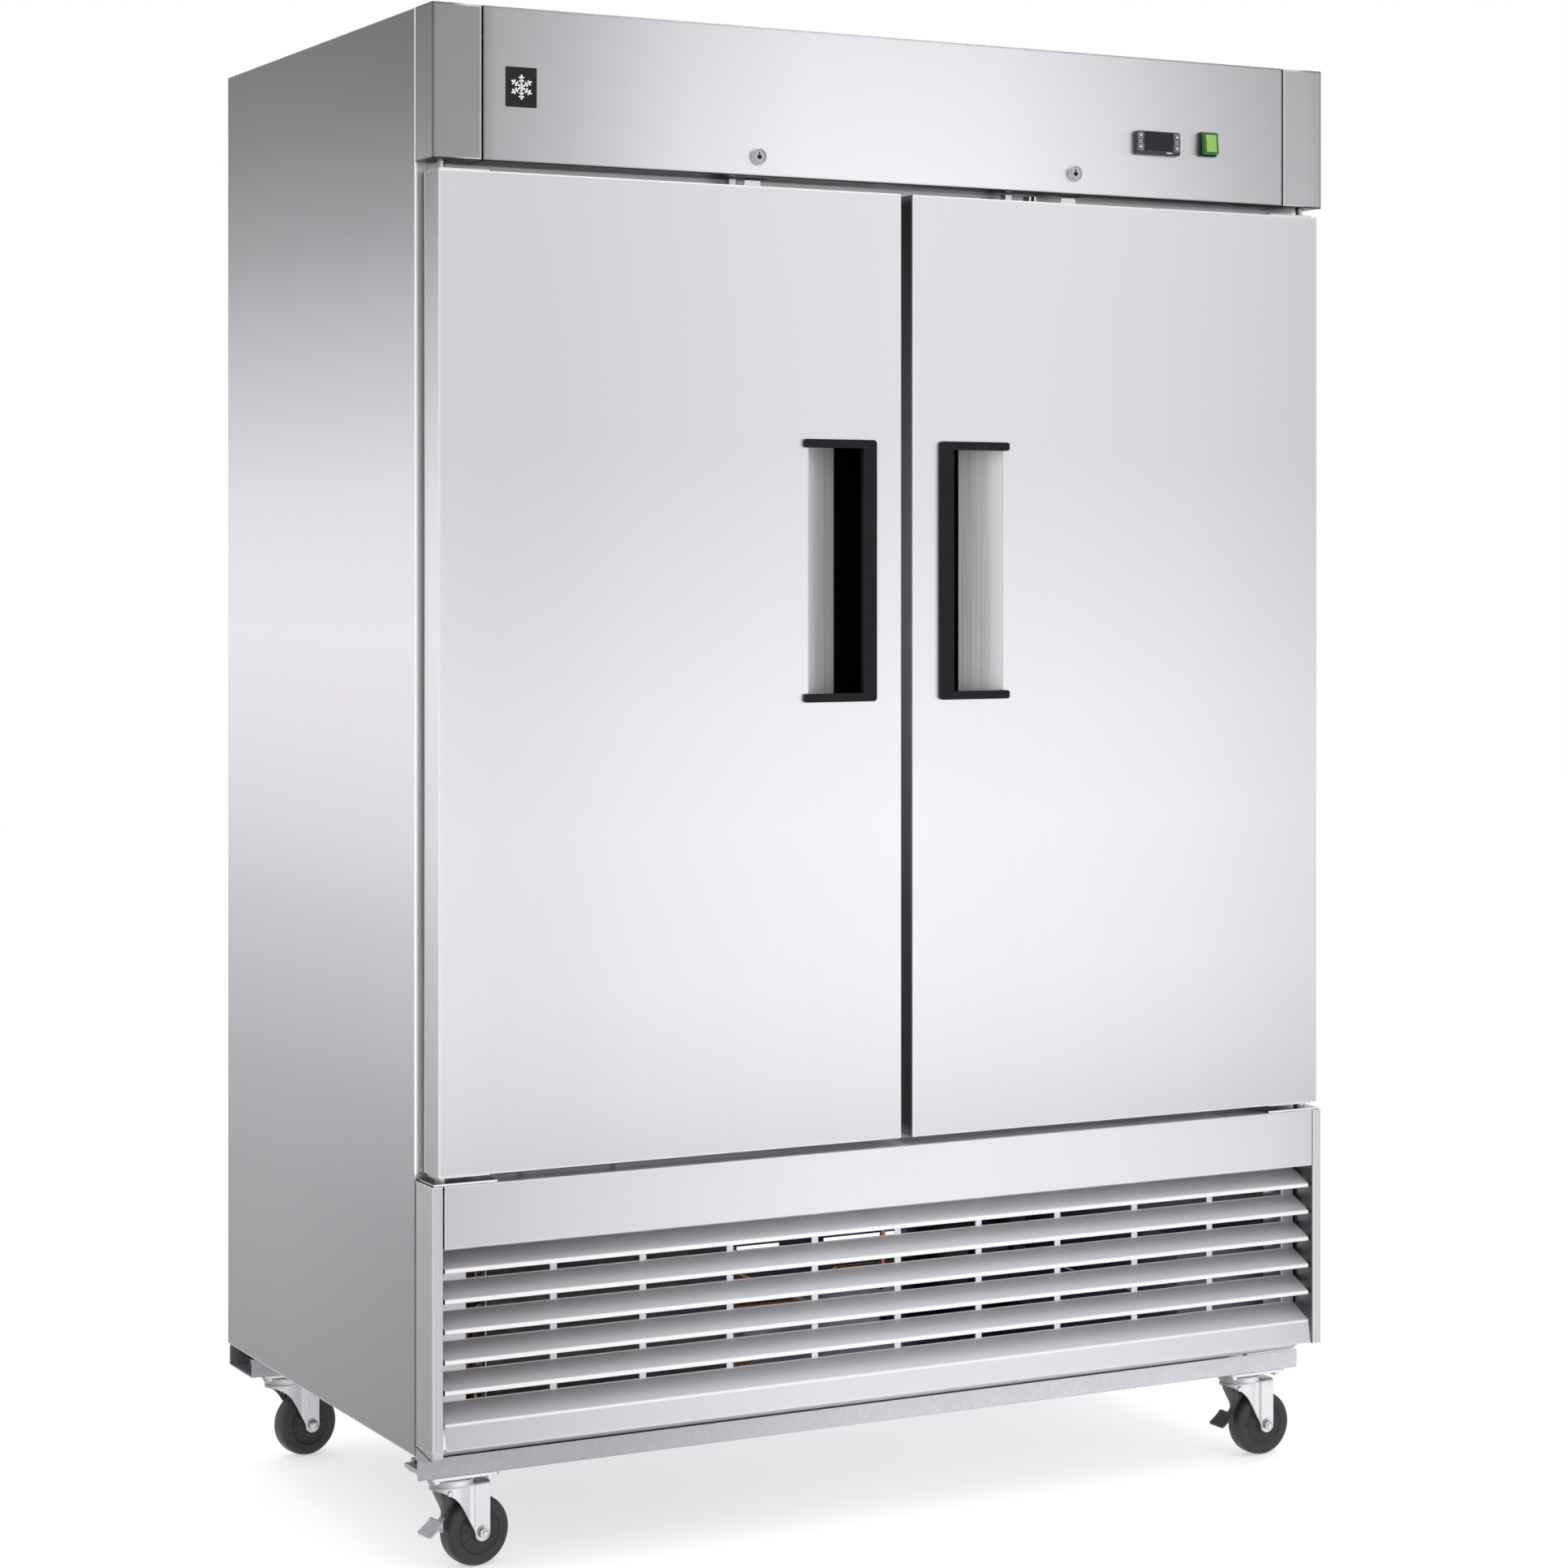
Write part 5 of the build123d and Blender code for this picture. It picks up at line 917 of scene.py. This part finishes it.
def plate_with_hole(solid, outer, inner, y_front, y_floor):
    """Flat face at y_front between two outlines, with a walled pocket down to y_floor inside."""
    bm = solid.bm
    walls = [[bm.verts.new(point) for point in upright(outline, y_front)] for outline in (outer, inner)]
    edges = []
    for verts in walls:
        edges += [bm.edges.new(pair) for pair in zip(verts, verts[1:] + verts[:1])]
    filled = bmesh.ops.triangle_fill(bm, edges=edges, use_beauty=True)
    for made in filled["geom"]:
        if isinstance(made, bmesh.types.BMFace):
            made.material_index = solid.look_index
    floor = [bm.verts.new((vert.co.x, y_floor, vert.co.z)) for vert in walls[1]]
    solid.strip(walls[1], floor)
    solid.look_index = 1
    solid.face(floor)
    solid.look_index = 0
    return walls[0]


def lock(name):
    """Cam lock: bright bezel ring, turned plug with a keyway, barrel, cam and the low nut on it."""
    low, high = node_mm("lock_" + name)
    z = (low[2] + high[2]) / 2
    x = low[0] + 11.0
    face = low[1]
    centre = (x, 0, z)
    solid = Solid()
    solid.lathe([(8.7, face + 0.9), (9.0, face + 0.15), (9.6, face), (10.2, face + 0.15), (10.8, face + 0.9),
                 (11.0, face + 1.8), (11.0, FRONT - 0.3), (10.6, FRONT), (8.7, FRONT)], centre, "Y", 72,
                loop=True)
    keyway = [(1.0, 5.6), (1.0, 1.6), (3.2, 0.6), (4.0, -1.4), (2.4, -2.6), (1.4, -4.0), (-1.4, -4.0),
              (-2.4, -2.6), (-4.0, -1.4), (-3.2, 0.6), (-1.0, 1.6), (-1.0, 5.6)]
    plug = moved(ring_circle(8.3, 48), x, z)
    rim = plate_with_hole(solid, plug, moved(keyway, x, z), face + 0.35, face + 3.2)
    solid.strip(rim, [solid.bm.verts.new((vert.co.x, FRONT, vert.co.z)) for vert in rim])
    solid.lathe([(8.7, face + 1.2), (8.3, face + 1.2), (8.3, face + 1.5), (8.7, face + 1.5)], centre, "Y", 48,
                loop=True)
    solid.lathe([(0, FRONT), (9.4, FRONT), (9.4, FRONT + 24), (0, FRONT + 24)], centre, "Y", 48)
    solid.hexagon(centre, "Y", 10.0, FRONT + 26.9, FRONT + 27.0)
    cam = [(-6, -4.5), (-4.5, -6), (31, -6), (34, -3.5), (34, 3.5), (31, 6), (-4.5, 6), (-6, 4.5)]
    solid.prism(moved(cam, x, z), FRONT + 24, FRONT + 27, "Y", 0.3)
    solid.piece("lock_barrel_" + name, f"lock_{name}_barrel", "lock_chrome", ["lock_" + name],
                [looks["lock_chrome"], shadow_look], sharp=34)


def badge_plate():
    """Black badge with a pale snowflake, the usual sign for cold."""
    low, high = node_mm("badge")
    x, z = middle_mm("badge")
    width, height = high[0] - low[0], high[2] - low[2]
    plate = Solid()
    plate.loft([upright(moved(ring_round(width - 2 * inset, height - 2 * inset, 1.4), x, z), y)
                for y, inset in ((FRONT, 0.0), (FRONT - 0.9, 0.0), (FRONT - 1.15, 0.25))])
    plate.look_index = 1
    raised = (FRONT - 1.55, FRONT - 1.05, "Y", 0.12)

    def bar(start, end, half_width):
        along = (end - start).normalized()
        side = Vector((-along.y, along.x)) * half_width
        point = along * half_width * 0.6
        outline = [start - side, end - side, end + point, end + side, start + side, start - point]
        plate.prism(moved(outline, x, z), *raised)
    for arm in range(6):
        angle = math.radians(90 + 60 * arm)
        out = Vector((math.cos(angle), math.sin(angle)))
        bar(out * 1.6, out * 15.5, 1.05)
        for distance, branch in ((6.2, 3.6), (10.4, 4.0)):
            for turn in (-55, 55):
                swing = angle + math.radians(turn)
                tip = out * distance + Vector((math.cos(swing), math.sin(swing))) * branch
                bar(out * distance, tip, 0.8)
    plate.prism(moved(ring_circle(2.6, 6, math.pi / 6), x, z), *raised)
    plate.piece("badge_plate", "cabinet", "badge_black", ["badge"], [looks["badge_black"], pale_print])


WINDOW = (401.75, 1890.0, 47.5, 26.0)  # centre across and up, width and height
KEY_COLUMNS = (371.0, 431.5)


def controller_details():
    """Smoked window, printed key frames and rib pads on the thermostat's bezel."""
    front = node_mm("controller_housing")[0][1]
    x, z, width, height = WINDOW
    window = Solid()
    window.loft([upright(moved(ring_round(width - 2 * inset, height - 2 * inset, 1.6), x, z), front + y)
                 for y, inset in ((0.55, 0.2), (0.1, 0.2), (-0.12, 0.5), (-0.2, 1.2))])
    window.piece("controller_window", "cabinet", "bezel_grey", looks_used=[window_look])

    prints = Solid()
    y = (front - 0.12, front + 0.1)
    for x in KEY_COLUMNS:
        for z in (1897.5, 1881.0):
            outer = moved(ring_round(9.2, 8.2, 1.2, 3), x, z)
            inner = moved(ring_round(8.2, 7.2, 0.8, 3), x, z)
            prints.loft([upright(inner, y[0]), upright(outer, y[0]), upright(outer, y[1]),
                         upright(inner, y[1])], loop=True)
        for rib in range(4):
            centre = 1886.8 + 1.6 * rib
            prints.box((x - 3.4, y[0], centre - 0.35), (x + 3.4, y[1], centre + 0.35), 0.08)
    prints.box((414.0, y[0], 1873.6), (423.5, y[1], 1875.4), 0.08)
    prints.piece("controller_prints", "cabinet", "key_grey", looks_used=[key_print])


def key_icons():
    """Raised pictures on the four keys: sun, two bars, up arrow and down arrow."""
    sun = [(ring_circle(1.25, 16), 0.05)]
    for ray in range(8):
        angle = math.radians(45 * ray)
        sun.append((moved(ring_circle(0.3, 8), 2.1 * math.cos(angle), 2.1 * math.sin(angle)), 0.03))
    bars = [(ring_round(4.4, 1.1, 0.4, 3), 0.05), (moved(ring_round(2.6, 0.8, 0.3, 3), 0, 1.8), 0.05)]
    icons = {"upper_left": sun, "lower_left": bars,
             "upper_right": [([(-2.0, -1.2), (2.0, -1.2), (0, 1.7)], 0.05)],
             "lower_right": [([(-2.0, 1.2), (2.0, 1.2), (0, -1.7)], 0.05)]}
    for place, shapes in icons.items():
        name = "key_" + place
        x, z = middle_mm(name)
        front = node_mm(name)[0][1]
        icon = Solid()
        for outline, soft in shapes:
            icon.prism(moved(outline, x, z), front - 0.10, front + 0.3, "Y", soft)
        icon.piece(name + "_icon", name + "_cap", "key_grey", looks_used=[pale_print])


def switch_lens():
    """Green moulded rocker with a clear raised pane over its lamp."""
    x, z = middle_mm("rocker")
    pivot = Vector((x, FRONT - 3.5, z))
    tilt = Matrix.Rotation(math.radians(-5.0), 4, "X")
    turn = Matrix.Translation(pivot) @ tilt @ Matrix.Translation(-pivot)
    front = FRONT - 12.0
    solid = Solid()

    def cushion(width, height, steps):
        solid.loft([upright(moved(ring_round(width - 2 * inset, height - 2 * inset, radius), x, z), front + y)
                    for y, inset, radius in steps])
    cushion(26, 31, ((5.0, 0.0, 2.4), (2.3, 0.0, 2.4), (1.5, 0.25, 2.2), (1.05, 0.9, 1.9), (0.95, 1.8, 1.5),
                     (1.6, 2.9, 1.2)))
    solid.box((x - 5, front + 4.6, z - 2.2), (x + 5, FRONT - 5.9, z + 2.2), 0.3)
    solid.lathe([(1.05, x - 5), (2.4, x - 5), (2.4, x + 5), (1.05, x + 5)], (0, FRONT - 3.5, z), "X", 32,
                loop=True)
    solid.look_index = 1
    cushion(19.6, 24.6, ((1.9, 0.0, 1.2), (1.3, 0.0, 1.2), (0.95, 0.25, 1.1), (0.92, 0.8, 0.9)))
    solid.piece("rocker_lens", "power_rocker", "rocker_green", ["rocker"], [looks["rocker_green"], lamp_look],
                turn, 36)


# ------------------------------------------------------------------ fasteners
BOLT_SPREAD = 37.0
SILL_FACE, REAR_FACE = -333.5, 403.0  # depth of the faces that the screws stand on


def cross_recess_screw(solid, x, y, z, outwards):
    """Pan head with a cross recess, standing on a face whose outward side is -Y or +Y."""
    profile = [(0, 0.0), (4.0, 0.0), (4.0, 0.7), (3.75, 1.4), (3.2, 1.95), (2.4, 2.25), (1.9, 2.32),
               (1.9, 1.5), (0, 1.3)]
    solid.lathe([(r, y + outwards * h) for r, h in profile], (x, 0, z), "Y", 28)
    depth = sorted((y + outwards * 1.35, y + outwards * 2.28))
    for turn in range(4):
        angle = math.radians(45 + 90 * turn)
        wedge = moved(ring_circle(0.85, 4, angle), x + 1.55 * math.cos(angle), z + 1.55 * math.sin(angle))
        solid.prism(wedge, *depth, "Y", 0.1)


def screws_and_bolts():
    """Caster bolts with pressed washers, sill screws and rear panel screws."""
    solid = Solid()
    for name in CASTER_HEADINGS:
        place = caster_place(name).translation
        for dx in (-BOLT_SPREAD, BOLT_SPREAD):
            for dy in (-BOLT_SPREAD, BOLT_SPREAD):
                at = (place.x + dx, place.y + dy, 0)
                solid.hexagon(at, "Z", 12.1, 122.5, 127.0)
                solid.lathe([(0, 126.7), (7.4, 126.7), (7.6, 127.1), (7.6, 127.5), (0, 127.5)], at, "Z", 28)
                solid.lathe([(0, 127.0), (3.9, 127.0), (3.9, 138.6), (3.3, 139.4), (0, 139.4)], at, "Z", 20)
    for x in (-541.0, -410.0, 410.0, 561.0):
        cross_recess_screw(solid, x, SILL_FACE, 519.4, -1)
    for x in (-640.0, -320.0, 0.0, 320.0, 640.0):
        for z in (190.0, 480.0, 1200.0, 1980.0):
            cross_recess_screw(solid, x, REAR_FACE, z, 1)
    solid.piece("screws_and_bolts", "cabinet", "zinc_plate", ["fasteners"])


# ------------------------------------------------------------------ shelves
SHELF_LEVELS = (860.0, 1160.0, 1460.0)
SHELF_ENDS = (14.0, 612.0)  # from the cabinet's middle
SHELF_FRONT, SHELF_BACK = -262.0, 328.0
SHELF_RAIL, CROSS_BAR, LONG_WIRE = 3.4, 2.6, 1.9  # radii


def shelf(solid, level, side):
    """Coated wire shelf: round frame, three cross bars, and long wires bent down at both ends."""
    x0, x1 = sorted((side * SHELF_ENDS[0], side * SHELF_ENDS[1]))
    y0, y1 = SHELF_FRONT, SHELF_BACK
    frame_z, top = level + SHELF_RAIL, level + 7.0
    outline = ring_round(x1 - x0 - 2 * SHELF_RAIL, y1 - y0 - 2 * SHELF_RAIL, 14, 5)
    outline = moved(outline, (x0 + x1) / 2, (y0 + y1) / 2)
    solid.tube([(u, v, frame_z) for u, v in outline], SHELF_RAIL, 12, loop=True)
    for share in (0.16, 0.5, 0.84):
        y = y0 + share * (y1 - y0)
        solid.tube([(x0 + 5, y, frame_z), (x1 - 5, y, frame_z)], CROSS_BAR, 10)
    gaps = 26
    for index in range(gaps + 1):
        x = x0 + 12 + (x1 - x0 - 24) * index / gaps
        solid.tube([(x, y0 + 2.0, level + 3.6), (x, y0 + 2.4, level + 5.6), (x, y0 + 4.5, top),
                    (x, y1 - 4.5, top), (x, y1 - 2.4, level + 5.6), (x, y1 - 2.0, level + 3.6)], LONG_WIRE, 8)


def shelves():
    solid = Solid()
    for level in SHELF_LEVELS:
        for side in (-1, 1):
            shelf(solid, level, side)
    solid.piece("shelves", "cabinet", "shelf_coating", ["wire_shelves"], sharp=40)


# ------------------------------------------------------------------ heat exchangers
CONDENSER = ((-560.0, -200.0), (-262.0, -202.0), (186.0, 446.0))  # extent across, in depth and up
EVAPORATOR = ((-250.0, 250.0), (60.0, 180.0), (1815.0, 1925.0))
SHROUD_WALL = 1.5
SHROUD_MOUTH = 117.0
MOUTH_STEPS = 72
TUBE_RADIUS, BEND_RADIUS = 4.2, 3.6


def finned_coil(solid, extent, fin_pitch, tube_rows, tube_levels):
    """Thin fins on copper tubes between two flanged end plates, with return bends outside them."""
    x, y, z = extent
    fins = int((x[1] - x[0] - 4) / fin_pitch)
    for index in range(fins + 1):
        at = x[0] + 2 + (x[1] - x[0] - 4) * index / fins
        near = y[0] + 0.6 + (0.5 if index % 2 else 0.0)
        solid.loft([[(u, near, z[0] + 0.5), (u, y[1] - 0.6, z[0] + 0.5), (u, y[1] - 0.6, z[1] - 0.5),
                     (u, near, z[1] - 0.5)] for u in (at - 0.12, at + 0.12)])
    for low in (x[0] - 2.0, x[1]):
        solid.box((low, y[0] - 4, z[0] - 4), (low + 2.0, y[1] + 4, z[1] + 4), 0.4)
    solid.look_index = 1
    row_gap = (y[1] - y[0]) / tube_rows
    level_gap = (z[1] - z[0]) / tube_levels
    for row in range(tube_rows):
        for level in range(tube_levels):
            cy = y[0] + row_gap * (row + 0.5)
            cz = z[0] + level_gap * (level + 0.5)
            solid.tube([(x[0] - 3.5, cy, cz), (x[1] + 3.5, cy, cz)], TUBE_RADIUS, 10)
            if level % 2 != row % 2:
                continue
            for end, way, base in ((x[0] - 3.0, -1, cz), (x[1] + 3.0, 1, cz + level_gap)):
                if base + level_gap > z[1]:
                    continue
                bend = []
                for step in range(7):
                    angle = math.pi * step / 6
                    bend.append((end + way * 5.0 * math.sin(angle), cy,
                                 base + level_gap / 2 - level_gap / 2 * math.cos(angle)))
                solid.tube(bend, BEND_RADIUS, 10)
    solid.look_index = 0


def shroud(solid, low, high):
    """Sheet box behind the condenser, open to it, with a rolled round mouth for the fan."""
    wall = SHROUD_WALL
    for a, b in (((low[0], low[1], low[2]), (high[0], high[1], low[2] + wall)),
                 ((low[0], low[1], high[2] - wall), (high[0], high[1], high[2])),
                 ((low[0], low[1], low[2] + wall), (low[0] + wall, high[1], high[2] - wall)),
                 ((high[0] - wall, low[1], low[2] + wall), (high[0], high[1], high[2] - wall))):
        solid.box(a, b, 0.3)
    x, z = (low[0] + high[0]) / 2, (low[2] + high[2]) / 2
    half_x, half_z = (high[0] - low[0]) / 2 - wall, (high[2] - low[2]) / 2 - wall
    outline = []
    for u, v in ring_circle(1.0, MOUTH_STEPS):
        reach = min(half_x / max(abs(u), 1e-6), half_z / max(abs(v), 1e-6))
        outline.append((x + u * reach, z + v * reach))
    for sx, sz in ((1, 1), (-1, 1), (-1, -1), (1, -1)):
        corner = (x + sx * half_x, z + sz * half_z)
        nearest = min(range(MOUTH_STEPS), key=lambda k: math.dist(outline[k], corner))
        outline[nearest] = corner
    front, back = high[1] - wall, high[1]
    rows = [upright(outline, front)]
    for wider, y in ((3.0, front), (0.0, front - 6.0), (1.2, front - 6.0), (4.4, back)):
        rows.append(upright(moved(ring_circle(SHROUD_MOUTH + wider, MOUTH_STEPS), x, z), y))
    solid.loft(rows + [upright(outline, back)], loop=True)


def coils():
    x, y, z = CONDENSER
    condenser, evaporator = Solid(), Solid()
    finned_coil(condenser, CONDENSER, 2.6, 2, 10)
    shroud(condenser, (x[0], y[1] + 4.5, z[0]), (x[1], y[1] + 44.5, z[1]))
    finned_coil(evaporator, EVAPORATOR, 4.0, 3, 4)
    for name, solid in (("condenser", condenser), ("evaporator", evaporator)):
        solid.piece(name, "cabinet", "coil_aluminium", [name + "_coil"],
                    [looks["coil_aluminium"], looks["copper"]])


# ------------------------------------------------------------------ gaskets and air guard
def gasket(side):
    """Mitred magnetic bellows gasket: a flat foot, a folded waist and a wide sealing face."""
    node = "door_gasket_" + side
    low, high = node_mm(node)
    solid = Solid()
    depth = high[1] - low[1]
    section = [(1.5, 0.0), (16.5, 0.0), (16.5, 1.6), (13.6, 2.4), (13.0, 3.6), (15.2, 4.9), (17.6, 6.0),
               (17.9, 7.4), (17.3, depth - 1.0), (15.8, depth - 0.1), (9.0, depth - 0.1), (2.2, depth - 0.1),
               (0.7, depth - 1.0), (0.1, 7.4), (0.4, 6.0), (2.8, 4.9), (5.0, 3.6), (4.4, 2.4), (1.5, 1.6)]
    rings = []
    for inset, y in section:
        corner = 4.0 if inset < 4 else 1.0
        outline = ring_round(high[0] - low[0] - 2 * inset, high[2] - low[2] - 2 * inset, corner, 4)
        rings.append(upright(moved(outline, *middle_mm(node)), low[1] + y))
    solid.loft(rings, loop=True)
    solid.piece("gasket_" + side, "door_" + side, "gasket_rubber", [node], sharp=50)


def air_guard():
    """Rings of round wire over the evaporator fan's inlet, in front of the cover's bars."""
    y = node_mm("evaporator_cover")[0][1] + 1.1
    solid = Solid()
    for ring in range(1, 6):
        solid.tube(upright(moved(ring_circle(11.0 * ring, 48), 0.0, 1868.0), y), 0.9, 6, loop=True)
    solid.piece("air_guard", "cabinet", "zinc_plate")


for caster in CASTER_HEADINGS:
    wheel(caster)
    fork(caster)
    if caster.startswith("front"):
        pedal(caster)
for side_name in ("left", "right"):
    lock(side_name)
    gasket(side_name)
badge_plate()
controller_details()
key_icons()
switch_lens()
screws_and_bolts()
shelves()
coils()
air_guard()
rails()
stile_foot()


# ------------------------------------------------------------------ camera, light and floor
def build_camera():
    data = bpy.data.cameras.new("camera")
    data.lens = 80.5
    data.sensor_width = 36.0
    data.shift_y = -0.1413
    data.clip_end = 100.0
    camera = bpy.data.objects.new("camera", data)
    camera.location = (-2.342, -4.500, 1.301)
    camera.rotation_euler = (math.radians(90), 0, math.radians(-27.676))
    scene.collection.objects.link(camera)
    scene.camera = camera


def soft_light(name, place, target, size, power):
    data = bpy.data.lights.new(name, "AREA")
    data.shape = "RECTANGLE"
    data.size, data.size_y = size
    data.energy = power
    light = bpy.data.objects.new(name, data)
    light.location = place
    light.rotation_euler = (Vector(target) - Vector(place)).to_track_quat("-Z", "Y").to_euler()
    scene.collection.objects.link(light)


def build_world():
    """Plain white surroundings."""
    world = bpy.data.worlds.new("studio")
    world.use_nodes = True
    tree = world.node_tree
    tree.nodes.clear()
    output = tree.nodes.new("ShaderNodeOutputWorld")
    background = tree.nodes.new("ShaderNodeBackground")
    background.inputs[0].default_value = (1.0, 1.0, 1.0, 1)
    background.inputs[1].default_value = 1.0
    tree.links.new(background.outputs[0], output.inputs[0])
    scene.world = world


def build_floor():
    """Pale floor with a soft glow of its own, which keeps the shadows light."""
    half = 12.0
    mesh = bpy.data.meshes.new("floor")
    corners = [(-half, -half, 0), (half, -half, 0), (half, half, 0), (-half, half, 0)]
    mesh.from_pydata(corners, [], [(0, 1, 2, 3)])
    floor = bpy.data.objects.new("floor", mesh)
    scene.collection.objects.link(floor)
    s = Shader("floor_paint")
    base = s.mix(s.noise(0.8, 2.0, 0.5), grey(0.60), grey(0.63))
    mesh.materials.append(s.finish(base=base, rough=0.8, glow=grey(1.0), glow_strength=0.52))


build_camera()
build_world()
build_floor()
soft_light("key", (0.6, -3.0, 5.4), (0.0, 0.0, 0.8), (4.0, 3.0), 80)
soft_light("fill", (-4.5, 1.0, 4.2), (0.0, 0.0, 1.0), (2.5, 2.5), 20)
scene.view_settings.view_transform = "Standard"
